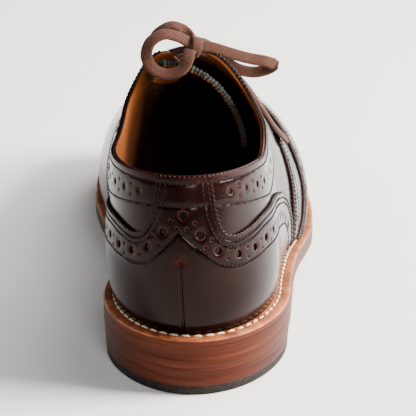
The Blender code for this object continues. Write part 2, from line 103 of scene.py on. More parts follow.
class Side(Enum):
    """The two sides of the shoe, with the sign of the distance round the heel."""

    LATERAL = 1
    MEDIAL = -1


class Plan(NamedTuple):
    """Half breadths at the feather line, the middle line's place and the welt's margins, mm."""

    station: float
    lateral: float
    medial: float
    middle: float
    margin_lateral: float
    margin_medial: float


class Rib(NamedTuple):
    """Ridge height and place across, roundness, swell and lean of a rib, mm."""

    station: float
    ridge: float
    across: float
    roundness: float
    swell: float
    lean: float


class Topline(NamedTuple):
    """Height of the collar's edge above the floor on each side, mm."""

    station: float
    lateral: float
    medial: float


PLAN = (
    Plan(0.00, 29.0, 29.0, -1.2, 6.4, 6.2), Plan(0.16, 30.2, 29.4, -1.2, 7.0, 5.4),
    Plan(0.28, 34.2, 27.2, -1.0, 5.8, 4.4), Plan(0.43, 40.2, 28.8, -0.5, 5.2, 4.2),
    Plan(0.56, 43.6, 36.0, -0.5, 5.9, 5.0), Plan(0.64, 44.2, 40.8, -0.5, 6.3, 5.6),
    Plan(0.72, 43.8, 43.2, -1.0, 6.5, 6.0), Plan(0.82, 41.6, 43.0, -2.2, 6.5, 6.3),
    Plan(0.91, 38.2, 40.8, -4.0, 6.5, 6.5), Plan(1.00, 34.0, 36.5, -6.0, 6.5, 6.5),
)
RIBS = (
    Rib(0.00, 145.0, -4.0, 2.2, 3.2, 2.6), Rib(0.18, 145.0, -4.0, 2.2, 2.0, 2.6),
    Rib(0.26, 143.0, -4.5, 2.1, 1.7, 3.2), Rib(0.295, 125.0, -4.8, 2.0, 1.6, 4.0),
    Rib(0.33, 105.5, -5.0, 1.95, 1.6, 1.6), Rib(0.38, 99.0, -5.5, 1.9, 1.6, 0.0),
    Rib(0.46, 89.5, -6.0, 1.85, 1.7, 0.0), Rib(0.55, 79.0, -6.5, 1.85, 2.0, 0.0),
    Rib(0.64, 69.0, -7.0, 1.95, 2.4, 0.0), Rib(0.72, 61.0, -7.0, 2.05, 2.6, 0.0),
    Rib(0.80, 54.5, -7.0, 2.2, 2.4, 0.0), Rib(0.88, 49.5, -6.5, 2.3, 2.2, 0.0),
    Rib(1.00, 44.5, -6.5, 2.4, 2.0, 0.0),
)
TOPLINE = (
    Topline(0.00, 80.7, 80.7), Topline(0.09, 78.6, 79.4), Topline(0.19, 75.6, 78.6),
    Topline(0.26, 80.0, 83.0), Topline(0.30, 88.5, 91.0), Topline(0.33, 112.0, 112.0),
)
COUNTER_EDGE = (
    (10.2, 79.2), (10.9, 68.0), (12.3, 62.0), (15.0, 58.6), (19.0, 57.6), (26.0, 58.3), (38.0, 59.7),
    (50.0, 59.2), (66.0, 56.6), (83.0, 52.8), (100.0, 47.4), (107.0, 43.0), (111.0, 35.0), (113.0, 23.0),
)
COUNTER_EDGE_MEDIAL = (
    (10.2, 79.2), (12.2, 68.6), (15.4, 62.2), (18.4, 59.0), (22.4, 57.9),
) + COUNTER_EDGE[5:]
BROGUE_SEAM = (
    (0.0, 61.8), (6.9, 54.4), (14.0, 48.3), (22.0, 46.8), (40.0, 47.5), (60.0, 45.4), (80.0, 41.4),
    (92.0, 37.4), (98.0, 33.0), (100.6, 28.0), (101.4, 23.0),
)
COUNTER_HOLES_LATERAL = (
    (-0.8, 67.5), (4.4, 60.4), (10.4, 53.9), (18.8, 50.9), (28.0, 50.7), (37.2, 51.4), (46.6, 51.1),
    (56.0, 49.9), (65.6, 48.4), (75.2, 46.4), (84.4, 43.5), (93.2, 39.3), (100.4, 34.2),
)
COUNTER_HOLES_MEDIAL = (
    (-0.8, 67.5), (-8.2, 61.1), (-14.6, 54.6), (-22.6, 51.4), (-31.2, 50.8), (-40.2, 51.4), (-49.6, 50.9),
    (-59.0, 49.5), (-68.4, 47.8), (-77.8, 45.7), (-86.8, 42.5), (-95.2, 38.1), (-101.4, 32.6),
)
VAMP_EDGE = (
    (0.00, 101.5), (0.12, 106.5), (0.21, 114.0), (0.33, 124.0), (0.49, 136.0), (0.70, 147.0), (1.00, 153.5),
)
WING_EDGE = (
    (0.00, 119.0), (0.12, 141.0), (0.22, 158.0), (0.35, 169.0), (0.50, 179.0), (0.65, 187.0), (0.78, 190.0),
    (0.90, 185.0), (1.00, 177.0),
)


def smooth(places: Sequence[float], values: Sequence[float], at: Array) -> Array:
    """A curve through table values that never overshoots them.

    Args:
        places: Where the values stand, rising.
        values: The table's values.
        at: Where the curve is wanted.

    Returns:
        The curve's values.
    """
    places, values = np.asarray(places, float), np.asarray(values, float)
    slopes = np.diff(values) / np.diff(places)
    before, after = slopes[:-1], slopes[1:]
    same = before * after > 0
    inner = np.where(same, 2 * before * after / np.where(same, before + after, 1.0), 0.0)
    tangents = np.concatenate([slopes[:1], inner, slopes[-1:]])
    return hermite(places, values, tangents, np.clip(at, places[0], places[-1]))


def unit(ways: Array) -> Array:
    """Directions of length one."""
    return ways / np.maximum(np.linalg.norm(ways, axis=-1, keepdims=True), 1e-12)


def run_lengths(points: Array) -> Array:
    """Distance run at each point of a line."""
    steps = np.linalg.norm(np.diff(points, axis=0), axis=1)
    return np.concatenate([[0.0], np.cumsum(steps)])


def spaced(points: Array, count: int) -> Array:
    """A line again as so many evenly spaced points."""
    run = run_lengths(points)
    return at_lengths(points, run, np.linspace(0, run[-1], count))


def smooth_route(ways: Sequence[Way], count: int) -> Array:
    """Points, in metres and evenly spaced, on a smooth curve through a route's places.

    Args:
        ways: The places, in mm.
        count: How many points.

    Returns:
        The points.
    """
    places = np.array(ways, float) * MM
    at = run_lengths(places)
    tangents = np.gradient(places, at, axis=0)
    return spaced(hermite(at, places, tangents, np.linspace(0, at[-1], ROUTE_STEPS)), count)


def ease(t: Array) -> Array:
    """A soft step: 0 below 0, 1 above 1."""
    t = np.clip(t, 0, 1)
    return t * t * (3 - 2 * t)


def closed(rows: Array) -> Array:
    """Rows with the first one again at the end."""
    return np.concatenate([rows, rows[:1]])


def hermite(places: Array, values: Array, tangents: Array, at: Array) -> Array:
    """A cubic curve through values with given slopes.

    Args:
        places: Where the values stand, rising.
        values: The values, one or a row of them at each place.
        tangents: The slopes there.
        at: Where the curve is wanted.

    Returns:
        The curve's values.
    """
    steps = np.diff(places)
    left = np.clip(np.searchsorted(places, at, "right") - 1, 0, len(steps) - 1)
    span = steps[left]
    t = (at - places[left]) / span
    if values.ndim > 1:
        t, span = t[:, None], span[:, None]
    rise = (1 + 2 * t) * (1 - t) ** 2 * values[left] + t**2 * (3 - 2 * t) * values[left + 1]
    lean = t * (1 - t) ** 2 * tangents[left] - t**2 * (1 - t) * tangents[left + 1]
    return rise + lean * span


def at_lengths(rows: Array, run: Array, at: Array) -> Array:
    """Rows of numbers along a line, at other distances along it."""
    return np.stack([np.interp(at, run, column) for column in rows.T], axis=1)


def spokes(normals: Array, guide: Way, turn: Array) -> Array:
    """Ways round about normals, the first one square to a guide."""
    first = unit(np.cross(normals, guide) + 1e-9)
    return first * np.cos(turn)[:, None] + np.cross(normals, first) * np.sin(turn)[:, None]


def blocks(count: int) -> Iterator[slice]:
    """Stretches of a long array, so that tables of distances stay small."""
    return (slice(first, first + BLOCK) for first in range(0, count, BLOCK))


@dataclass
class Last:
    """The form that every leather piece is laid on: ribs from the feather line to the ridge."""

    length: float = 284 * MM
    heel_round: float = 44 * MM
    toe_round: float = 64 * MM
    heel_power: float = 1.95
    toe_power: float = 2.2
    side_bend: float = 0.235
    margin_blend: float = 12 * MM
    pole_angle: float = 0.06
    heel_axis: float = 42 * MM
    heel_fan: float = 62 * MM
    toe_roll: float = 24 * MM
    toe_fan: float = 62 * MM
    pole: float = 0.8 * MM
    swell_height: float = 19 * MM
    lean_height: float = 58 * MM
    gap: float = 0.3 * MM
    seat: float = 14.6 * MM
    outsole: float = 4.6 * MM
    welt: float = 2.6 * MM
    waist_start: float = 74 * MM
    tread_start: float = 176 * MM
    tread_end: float = 212 * MM
    toe_spring: float = 13 * MM
    facing_top: float = 93 * MM
    throat_end: float = 152 * MM
    throat_gap_top: float = 4.5 * MM
    throat_gap_end: float = 1.2 * MM
    corner_round: float = 0.010
    corner_reach: float = 18 * MM
    samples: int = 4096
    fine: int = 4001
    turn_step: float = 2e-3
    angle_step: float = 4e-3
    fairing: float = 0.010
    table: Array = field(init=False)
    centre: Array = field(init=False)
    round_turns: Array = field(init=False)
    round_lengths: Array = field(init=False)

    def __post_init__(self) -> None:
        """Work out the faired ribs and where the CAD's frame stands."""
        turns = np.arange(self.samples) * 2.0 / self.samples
        self.table = self.faired(self.raw_ribs(turns))
        rim = self.plan_line(np.linspace(0, 2, 65)[:-1], 0.0)
        low, high = (np.array(corner)[:2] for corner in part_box("welt"))
        shift = (rim.min(axis=0) + rim.max(axis=0)) / 2 - (low + high) / 2
        self.centre = np.array([shift[0], shift[1], 0.0])
        self.round_turns = np.linspace(-1.0, 1.0, self.fine)
        foot = self.ribs(self.round_turns)[:, :2]
        lengths = run_lengths(foot)
        self.round_lengths = lengths - np.interp(0.0, self.round_turns, lengths)

    def column(self, rows: Sequence[NamedTuple], name: str, along: Array) -> Array:
        """A table's column at a distance along the last, in metres."""
        values = [getattr(row, name) for row in rows]
        return smooth([row.station for row in rows], values, along / self.length) * MM

    def sole_height(self, along: Array) -> Array:
        """Height of the outsole's underside: seat, waist, tread and toe spring.

        Args:
            along: Distances along the last.

        Returns:
            The heights.
        """
        waist = ease((along - self.waist_start) / (self.tread_start - self.waist_start))
        toe = np.clip((along - self.tread_end) / (self.length - self.tread_end), 0, None)
        return self.seat * (1 - waist) + self.toe_spring * toe**2

    def welt_top(self, along: Array) -> Array:
        """Height of the welt's top face."""
        return self.sole_height(along) + self.outsole + self.gap + self.welt

    def distance_along(self, t: Array) -> Array:
        """Distance along the last for a share of the way round a side.

        Args:
            t: Shares from heel to toe.

        Returns:
            The distances.
        """
        bend = self.side_bend
        heel = self.heel_round * (1 - np.cos(np.clip(t / bend, 0, 1) * RIGHT_ANGLE))
        toe = self.toe_round * (1 - np.cos(np.clip((1 - t) / bend, 0, 1) * RIGHT_ANGLE))
        straight = (t - bend) / (1 - 2 * bend)
        middle = self.heel_round + straight * (self.length - self.heel_round - self.toe_round)
        return np.where(t < bend, heel, np.where(t > 1 - bend, self.length - toe, middle))

    def folded(self, turn: Array) -> tuple[Array, Array]:
        """Share of the way round a side, and whether that side is the outer one."""
        turn = np.mod(turn, 2.0)
        return np.where(turn <= 1.0, turn, 2.0 - turn), turn <= 1.0

    def along(self, turn: Array) -> Array:
        """Distance along the last at a place round the feather line."""
        return self.distance_along(self.folded(turn)[0])

    def outline(self, turn: Array) -> tuple[Array, Array, Array]:
        """The feather line in plan, before fairing.

        Args:
            turn: 0 at the heel to 1 at the toe on the outer side, 2 at the heel again.

        Returns:
            Places across, places along, and the sign of the side.
        """
        t, outer = self.folded(turn)
        along = self.distance_along(t)
        rounding = 1.0
        for left, end, power in ((along, self.heel_round, self.heel_power),
                                 (self.length - along, self.toe_round, self.toe_power)):
            rounding = rounding * (1 - np.clip(1 - left / end, 0, 1) ** power) ** (1 / power)
        lateral, medial = self.column(PLAN, "lateral", along), self.column(PLAN, "medial", along)
        across = self.column(PLAN, "middle", along) + np.where(outer, lateral, -medial) * rounding
        return across, along, np.where(outer, 1.0, -1.0)

    def ridge_place(self, along: Array) -> Array:
        """Where a rib's top stands along the last: ribs fan out at heel and toe.

        Args:
            along: Distances along of the ribs' feet.

        Returns:
            Distances along of their tops.
        """
        left = self.length - along
        toe = self.fanned(left, self.toe_roll, self.toe_fan)
        toe = np.where(toe < self.toe_roll + self.pole, self.toe_roll, toe)
        place = np.where(along < self.heel_fan, self.fanned(along, self.heel_axis, self.heel_fan), along)
        return np.where(left < self.toe_fan, self.length - toe, place)

    def raw_ribs(self, turn: Array) -> Array:
        """Foot, top, low and high, roundness, swell and lean of ribs, in columns.

        Args:
            turn: Places round the feather line.

        Returns:
            One row a rib.
        """
        across, along, _ = self.outline(turn)
        place = self.ridge_place(along)
        columns = [
            across,
            along,
            self.column(RIBS, "across", place),
            place,
            self.welt_top(along) + self.gap,
            self.column(RIBS, "ridge", place),
            self.column(RIBS, "roundness", along) / MM,
            self.column(RIBS, "swell", along),
            self.column(RIBS, "lean", along),
        ]
        return np.stack(columns, axis=-1)

    def faired(self, ribs: Array) -> Array:
        """Ribs evened out round the feather line, so polish shows no kinks."""
        soft = np.exp(-2 * (math.pi * np.fft.rfftfreq(self.samples, 2.0 / self.samples) * self.fairing) ** 2)
        return np.fft.irfft(np.fft.rfft(ribs, axis=0) * soft[:, None], self.samples, axis=0)

    def ribs(self, turn: Array) -> Array:
        """The faired ribs at places round the feather line.

        Args:
            turn: The places.

        Returns:
            One row a rib.
        """
        place = np.mod(turn, 2.0) * self.samples / 2.0
        left = np.floor(place).astype(int)
        t = (place - left)[..., None]
        return self.table[left % self.samples] * (1 - t) + self.table[(left + 1) % self.samples] * t

    def surface(self, turn: Array, angle: Array) -> Array:
        """Points of the last before centring: angle 0 at the feather line, a right angle at the ridge.

        Args:
            turn: Places round the feather line.
            angle: Places up the ribs.

        Returns:
            The points.
        """
        rib = self.ribs(turn)
        foot, top = rib[..., 0:2], rib[..., 2:4]
        low, high, roundness, swell, lean = (rib[..., i] for i in range(4, 9))
        inward = 1 - np.clip(np.cos(angle), 0, 1) ** (2 / roundness)
        height = (high - low) * np.clip(np.sin(angle), 0, 1) ** (2 / roundness)
        reach = np.linalg.norm(foot - top, axis=-1)
        swollen = swell * height / self.swell_height * np.exp(1 - height / self.swell_height)
        plan = foot + (top - foot) * (inward - swollen / reach)[..., None]
        plan[..., 0] -= lean * height / self.lean_height
        return np.concatenate([plan, (low + height)[..., None]], axis=-1)

    def skin(self, turn: Array, angle: Array) -> tuple[Array, Array]:
        """Points and outward normals of the last, in the CAD's frame.

        Args:
            turn: Places round the feather line.
            angle: Places up the ribs.

        Returns:
            Points and normals.
        """
        turn, angle = np.broadcast_arrays(np.asarray(turn, float), np.asarray(angle, float))
        low = np.clip(angle - self.angle_step, 0, RIGHT_ANGLE)
        high = np.clip(angle + self.angle_step, 0, RIGHT_ANGLE)
        below = np.minimum(angle, RIGHT_ANGLE - self.pole_angle)
        step = self.turn_step
        round_way = self.surface(turn + step, below) - self.surface(turn - step, below)
        up_way = self.surface(turn, high) - self.surface(turn, low)
        return self.surface(turn, angle) - self.centre, unit(np.cross(round_way, up_way))

    def lifted(self, turn: Array, angle: Array, lift: Union[Array, float]) -> Array:
        """Points of the last moved out along its normals, kept clear of the welt."""
        points, normals = self.skin(turn, angle)
        return self.clear(points + normals * np.asarray(lift)[..., None])

    def clear(self, points: Array) -> Array:
        """Points kept above the welt's top face."""
        floor = self.welt_top(points[..., 1] + self.centre[1]) + self.gap / 3
        return np.concatenate([points[..., :2], np.maximum(points[..., 2], floor)[..., None]], axis=-1)

    def angle_at_height(self, turn: Array, height: Array) -> Array:
        """Rib angle that reaches a height above the floor."""
        low, high, roundness = np.moveaxis(self.ribs(turn)[..., 4:7], -1, 0)
        return np.arcsin(np.clip((height - low) / (high - low), 0, 1) ** (roundness / 2))

    def angle_at_gap(self, turn: Array, gap: Array) -> Array:
        """Rib angle that stops short of the ridge by a distance.

        Args:
            turn: Places round the feather line.
            gap: The distances.

        Returns:
            The angles.
        """
        rib = self.ribs(turn)
        reach = np.linalg.norm(rib[..., 0:2] - rib[..., 2:4], axis=-1)
        return np.arccos(np.clip(gap / reach, 0, 1) ** (rib[..., 6] / 2))

    def topline_height(self, turn: Array) -> Array:
        """Height of the collar's edge."""
        sides = [self.column(TOPLINE, name, self.along(turn)) for name in ("lateral", "medial")]
        return np.where(self.folded(turn)[1], *sides)

    def upper_edge(self, turn: Array) -> Array:
        """Rib angle where the upper ends, with the facings' top corners rounded.

        Args:
            turn: Places round the feather line.

        Returns:
            The angles.
        """
        sharp = self.sharp_edge(turn)
        shifts = self.corner_round * np.linspace(-1, 1, 9)
        soft = np.mean([self.sharp_edge(turn + shift) for shift in shifts], axis=0)
        share = ease(1 - np.abs(self.along(turn) - self.facing_top) / self.corner_reach)
        return sharp * (1 - share) + soft * share

    def sharp_edge(self, turn: Array) -> Array:
        """Rib angle of the topline, the facing, or the ridge past the throat.

        Args:
            turn: Places round the feather line.

        Returns:
            The angles.
        """
        along = self.along(turn)
        facing = self.angle_at_gap(turn, self.throat_gap(along))
        collar = np.minimum(self.angle_at_height(turn, self.topline_height(turn)), facing)
        edge = np.where(along < self.facing_top, collar, facing)
        return np.where(along < self.throat_end - MM / 100, edge, RIGHT_ANGLE)

    def turn_at(self, distance: Array) -> Array:
        """The turn at a distance round the feather line from the back, outer side up."""
        return np.interp(distance, self.round_lengths, self.round_turns)

    def turn_along(self, along: Array, side: Array) -> Array:
        """The turn on one side at a distance along the last.

        Args:
            along: The distances.
            side: Over zero on the outer side.

        Returns:
            The turns.
        """
        shares = np.linspace(0.0, 1.0, self.fine)
        share = np.interp(along, self.distance_along(shares), shares)
        return np.where(np.asarray(side) > 0, share, 2.0 - share)

    def plan_line(self, turn: Array, extra: float, from_feather: bool = False) -> Array:
        """Plan points, before centring, of a line beside the welt's edge or the feather line.

        Args:
            turn: Places round the feather line.
            extra: Distance beyond the welt's edge, or beyond the feather line.
            from_feather: Measure from the feather line.

        Returns:
            The line's points.
        """
        step = self.turn_step
        foot = self.ribs(turn)[..., :2]
        way = unit(self.ribs(turn + step)[..., :2] - self.ribs(turn - step)[..., :2])
        _, along, side = self.outline(turn)
        lateral = self.column(PLAN, "margin_lateral", along)
        medial = self.column(PLAN, "margin_medial", along)
        off_middle = np.abs(foot[..., 0] - self.column(PLAN, "middle", along))
        share = np.clip(off_middle / self.margin_blend, 0, 1) * side
        margin = (lateral + medial) / 2 + (lateral - medial) / 2 * share
        reach = np.full_like(margin, extra) if from_feather else margin + extra
        return foot + np.stack([way[..., 1], -way[..., 0]], axis=-1) * reach[..., None]

    def fanned(self, left: Array, roll: float, fan: float) -> Array:
        """Distance of a rib's top from the last's end, for its foot's distance from it."""
        return roll + (fan - roll) * np.clip(left / fan, 0, 1) ** (fan / (fan - roll))

    def throat_gap(self, along: Array) -> Array:
        """Distance of a facing's edge from the ridge."""
        t = np.clip((along - self.facing_top) / (self.throat_end - self.facing_top), 0, 1)
        return self.throat_gap_top + (self.throat_gap_end - self.throat_gap_top) * t


class Wire:
    """A node's socket that takes part in sums."""

    def __init__(self, bench: "Bench", socket: bpy.types.NodeSocket) -> None:
        """Keep the socket and the bench that it lies on."""
        self.bench = bench
        self.socket = socket

    def sum(self, kind: str, first: "Value", second: "Value") -> "Wire":
        """A Math node on two values."""
        return self.bench.node("ShaderNodeMath", {"operation": kind}, {0: first, 1: second})

    def __add__(self, other: "Value") -> "Wire":
        """Self plus other."""
        return self.sum("ADD", self, other)

    __radd__ = __add__

    def __sub__(self, other: "Value") -> "Wire":
        """Self less other."""
        return self.sum("SUBTRACT", self, other)

    def __rsub__(self, other: "Value") -> "Wire":
        """Other less self."""
        return self.sum("SUBTRACT", other, self)

    def __mul__(self, other: "Value") -> "Wire":
        """Self times other."""
        return self.sum("MULTIPLY", self, other)

    __rmul__ = __mul__

    def over(self, low: float, high: float) -> "Wire":
        """Zero below low, one above high, and a soft step between."""
        settings = {"interpolation_type": "SMOOTHSTEP"}
        return self.bench.node("ShaderNodeMapRange", settings, {0: self, 1: low, 2: high, 3: 0.0, 4: 1.0})


Value = Union[Wire, float]


class Bench:
    """A material while its nodes are laid out."""

    def __init__(self, name: str) -> None:
        """Start a material with its Principled shader.

        Args:
            name: The material's name.
        """
        self.material = bpy.data.materials.new(name)
        self.material.use_nodes = True
        self.tree = self.material.node_tree
        self.shader = self.tree.nodes["Principled BSDF"]

    def node(self, kind: str, settings: dict, sockets: dict, output: Union[int, str] = 0) -> Wire:
        """Add any node.

        Args:
            kind: The node's type.
            settings: Its settings, set first.
            sockets: Values or wires of its inputs.
            output: Which output is wanted.

        Returns:
            The output's wire.
        """
        made = self.tree.nodes.new(kind)
        for name, value in settings.items():
            setattr(made, name, value)
        for key, value in sockets.items():
            if isinstance(value, Wire):
                self.tree.links.new(value.socket, made.inputs[key])
            else:
                made.inputs[key].default_value = value
        return Wire(self, made.outputs[output])

    def place(self, scale: tuple[float, float, float] = (1.0, 1.0, 1.0)) -> Wire:
        """Object coordinates, stretched."""
        spot = self.node("ShaderNodeTexCoord", {}, {}, "Object")
        return self.node("ShaderNodeMapping", {}, {"Vector": spot, "Scale": scale})

    def noise(self, scale: float, detail: float = 3.0, place: Optional[Wire] = None,
              rough: float = 0.55) -> Wire:
        """Noise from 0 to 1 at so many grains a metre."""
        sockets = {"Vector": place or self.place(), "Scale": scale, "Detail": detail, "Roughness": rough}
        return self.node("ShaderNodeTexNoise", {}, sockets)

    def attribute(self, name: str) -> Wire:
        """A number stored on the mesh."""
        return self.node("ShaderNodeAttribute", {"attribute_name": name}, {}, "Fac")

    def mix(self, share: Value, first: Union[Wire, Colour], second: Union[Wire, Colour]) -> Wire:
        """One colour over another.

        Args:
            share: How much of the second shows.
            first: Lower colour.
            second: Upper colour.

        Returns:
            The mixed colour.
        """
        ends = [end if isinstance(end, Wire) else (*end, 1.0) for end in (first, second)]
        return self.node("ShaderNodeMix", {"data_type": "RGBA"}, {0: share, 6: ends[0], 7: ends[1]}, 2)

    def bump(self, height: Wire, distance: float, strength: float = 1.0) -> None:
        """Feed a height to the shader's normal."""
        sockets = {"Height": height, "Distance": distance, "Strength": strength}
        self.feed("Normal", self.node("ShaderNodeBump", {}, sockets, 0))

    def feed(self, name: str, wire: Wire) -> None:
        """Link a wire to the shader."""
        self.tree.links.new(wire.socket, self.shader.inputs[name])

    def set(self, **values: Union[float, Colour]) -> None:
        """Set the shader's sockets to fixed values, with spaces in names as underscores."""
        for name, value in values.items():
            self.shader.inputs[name.replace("_", " ")].default_value = value


@dataclass(frozen=True)
class PolishedLeather:
    """Mirror-polished calf, near black, with red where edges and holes are burnished."""

    name: str = "polished_burgundy_leather"
    deep: Colour = (0.0030, 0.0008, 0.0008)
    warm: Colour = (0.0110, 0.0016, 0.0014)
    burnished: Colour = (0.048, 0.0054, 0.0048)
    sheen: Colour = (1.0, 0.74, 0.64)
    roughness: float = 0.10

    def material(self) -> Material:
        """Lay out the leather's nodes.

        Returns:
            The material.
        """
        bench = Bench(self.name)
        clouds = bench.noise(38.0, 4.0)
        grain = bench.noise(2600.0, 2.0)
        pores = bench.noise(900.0, 3.0)
        body = bench.mix(clouds.over(0.40, 0.72), self.deep, self.warm)
        rub = bench.noise(420.0, 4.0)
        burnish_and_painted_shade = bench.attribute("burnish_and_painted_shade")
        red = burnish_and_painted_shade * (0.35 + 1.1 * rub)
        bench.feed("Base Color", bench.mix(red.over(0.10, 0.95), body, self.burnished))
        bench.feed("Roughness", self.roughness + 0.10 * clouds.over(0.3, 0.8) + 0.05 * pores + 0.35 * burnish_and_painted_shade)
        bench.set(Specular_IOR_Level=0.13, Specular_Tint=(*self.sheen, 1.0))
        bench.bump(0.6 * pores + 0.4 * grain, 0.00006)
        return bench.material


@dataclass(frozen=True)
class TanLining:
    """Soft vegetable-tanned lining leather, with painted shade: darker low down and deeper below the topline.
    """

    name: str = "tan_lining_leather"
    light: Colour = (0.200, 0.056, 0.0105)
    dark: Colour = (0.112, 0.028, 0.0055)
    # Painted shade: the darker tone that the lining takes low down and deep below the topline, where the
    # shoe's inside lies in shade.
    painted_shade_tone: Colour = (0.046, 0.0134, 0.0042)
    shade_full_below: float = 20 * MM
    shade_none_above: float = 30 * MM

    def material(self) -> Material:
        """Lay out the lining's nodes.

        Returns:
            The material.
        """
        bench = Bench(self.name)
        clouds = bench.noise(55.0, 4.0)
        pores = bench.noise(1500.0, 3.0)
        colour = bench.mix((0.7 * clouds + 0.3 * pores).over(0.35, 0.7), self.dark, self.light)
        # Painted shade: darker below the lower height, and where the quarters' lining lies deep below the
        # topline (its mesh attribute).
        rise = bench.node("ShaderNodeSeparateXYZ", {}, {"Vector": bench.place()}, "Z")
        unshaded = rise.over(self.shade_full_below, self.shade_none_above) * (1 - bench.attribute("burnish_and_painted_shade"))
        bench.feed("Base Color", bench.mix(unshaded, self.painted_shade_tone, colour))
        bench.feed("Roughness", 0.54 + 0.2 * pores)
        bench.set(Specular_IOR_Level=0.07)
        bench.bump(pores, 0.00012)
        return bench.material


@dataclass(frozen=True)
class Grained:
    """A plain finish: two tones mixed by a grain and clouds, with the grain pressed in."""

    name: str
    light: Colour
    dark: Colour
    grain: tuple[float, float, float]
    tones: tuple[float, float]
    roughness: tuple[float, float]
    relief: float
    specular: float = 0.5
    clouds: tuple[float, float] = (1.0, 1.0)
    cloud_share: float = 0.0

    def material(self) -> Material:
        """Lay out the finish's nodes.

        Returns:
            The material.
        """
        bench = Bench(self.name)
        scale, detail, rough = self.grain
        grain = tone = bench.noise(scale, detail, rough=rough)
        if self.cloud_share > 0:
            tone = (1 - self.cloud_share) * grain + self.cloud_share * bench.noise(*self.clouds)
        bench.feed("Base Color", bench.mix(tone.over(*self.tones), self.dark, self.light))
        bench.feed("Roughness", self.roughness[0] + self.roughness[1] * grain)
        bench.set(Specular_IOR_Level=self.specular)
        bench.bump(grain, self.relief)
        return bench.material


@dataclass(frozen=True)
class StainedEdge:
    """Waxed and stained sole leather, streaked along its layers."""

    name: str = "stained_sole_edge"
    light: Colour = (0.078, 0.0176, 0.0076)
    middle: Colour = (0.040, 0.0080, 0.0034)
    dark: Colour = (0.0115, 0.0023, 0.0012)
    roughness: float = 0.36

    def material(self) -> Material:
        """Lay out the edge's nodes.

        Returns:
            The material.
        """
        bench = Bench(self.name)
        streaks = bench.noise(1.0, 5.0, bench.place((24.0, 24.0, 1300.0)), 0.66)
        bands = bench.noise(1.0, 3.0, bench.place((7.0, 7.0, 330.0)))
        specks = bench.noise(1700.0, 2.0)
        body = bench.mix(bands.over(0.36, 0.64), self.middle, self.light)
        body = bench.mix(streaks.over(0.52, 0.76) * 0.75, body, self.dark)
        body = bench.mix(specks.over(0.64, 0.74) * 0.5, body, self.light)
        bench.feed("Base Color", body)
        bench.feed("Roughness", self.roughness + 0.2 * streaks)
        bench.set(Specular_IOR_Level=0.13, Specular_Tint=(1.0, 0.72, 0.60, 1.0))
        bench.bump(0.7 * streaks + 0.3 * specks, 0.00012)
        return bench.material


@dataclass(frozen=True)
class WovenCotton:
    """Braided cotton lace: slanting yarns that cross, on the ribbon's own UV map."""

    name: str = "woven_cotton_lace"
    light: Colour = (0.092, 0.032, 0.0182)
    dark: Colour = (0.032, 0.0110, 0.0064)
    yarn: float = 1.05

    def material(self) -> Material:
        """Lay out the weave's nodes.

        Returns:
            The material.
        """
        bench = Bench(self.name)
        flat = bench.node("ShaderNodeUVMap", {"uv_map": "weave"}, {}, 0)
        ways = []
        for lean in (0.75, -0.75):
            turn = {"Vector": flat, "Rotation": (0.0, 0.0, lean), "Scale": (1.0, 1.0, 1.0)}
            turned = bench.node("ShaderNodeMapping", {}, turn)
            scale = 2 * math.pi / 20 / self.yarn
            yarns = {"Vector": turned, "Scale": scale, "Distortion": 0.8, "Detail Scale": 2.0}
            ways.append(bench.node("ShaderNodeTexWave", {"wave_profile": "SIN"}, yarns, 1))
        weave = ways[0].sum("MAXIMUM", ways[0], ways[1])
        fuzz = bench.noise(1500.0, 5.0, rough=0.75)
        height = 0.2 * weave + 0.8 * fuzz
        bench.feed("Base Color", bench.mix(height.over(0.34, 0.72), self.dark, self.light))
        bench.feed("Roughness", 0.78 + 0.2 * fuzz)
        bench.set(Specular_IOR_Level=0.15, Sheen_Weight=0.08, Sheen_Roughness=0.5)
        bench.bump(height, 0.0007)
        return bench.material


@dataclass(frozen=True)
class PaleFloor:
    """The studio's matt floor."""

    name: str = "pale_floor"
    light: Colour = (0.93, 0.925, 0.92)
    dark: Colour = (0.90, 0.895, 0.89)

    def material(self) -> Material:
        """Lay out the floor's nodes.

        Returns:
            The material.
        """
        bench = Bench(self.name)
        bench.feed("Base Color", bench.mix(bench.noise(3.0), self.dark, self.light))
        bench.set(Roughness=0.9)
        return bench.material


NAPPED_TONGUE = Grained("napped_tongue_leather", (0.054, 0.060, 0.049), (0.0066, 0.0078, 0.0064),
                        (1150.0, 5.0, 0.75), (0.42, 0.66), (0.78, 0.2), 0.0009, 0.5, (130.0, 3.0), 0.25)
WELT_LEATHER = Grained("orange_welt_leather", (0.42, 0.120, 0.038), (0.13, 0.030, 0.011),
                       (1700.0, 3.0, 0.55), (0.36, 0.62), (0.38, 0.2), 0.0002, 0.2, (160.0, 4.0), 0.6)
HEEL_RUBBER = Grained("moulded_heel_rubber", (0.021, 0.0145, 0.0120), (0.0065, 0.0048, 0.0042),
                      (800.0, 4.0, 0.55), (0.35, 0.65), (0.55, 0.25), 0.0003, 0.15)
DARK_THREAD = Grained("dark_sewing_thread", (0.011, 0.008, 0.0075), (0.003, 0.0024, 0.0023),
                      (2400.0, 2.0, 0.55), (0.35, 0.65), (0.60, 0.3), 0.0001, 0.13)
CREAM_THREAD = Grained("cream_welt_thread", (0.90, 0.78, 0.58), (0.55, 0.40, 0.24),
                       (2400.0, 2.0, 0.55), (0.35, 0.65), (0.60, 0.3), 0.0001, 0.13)


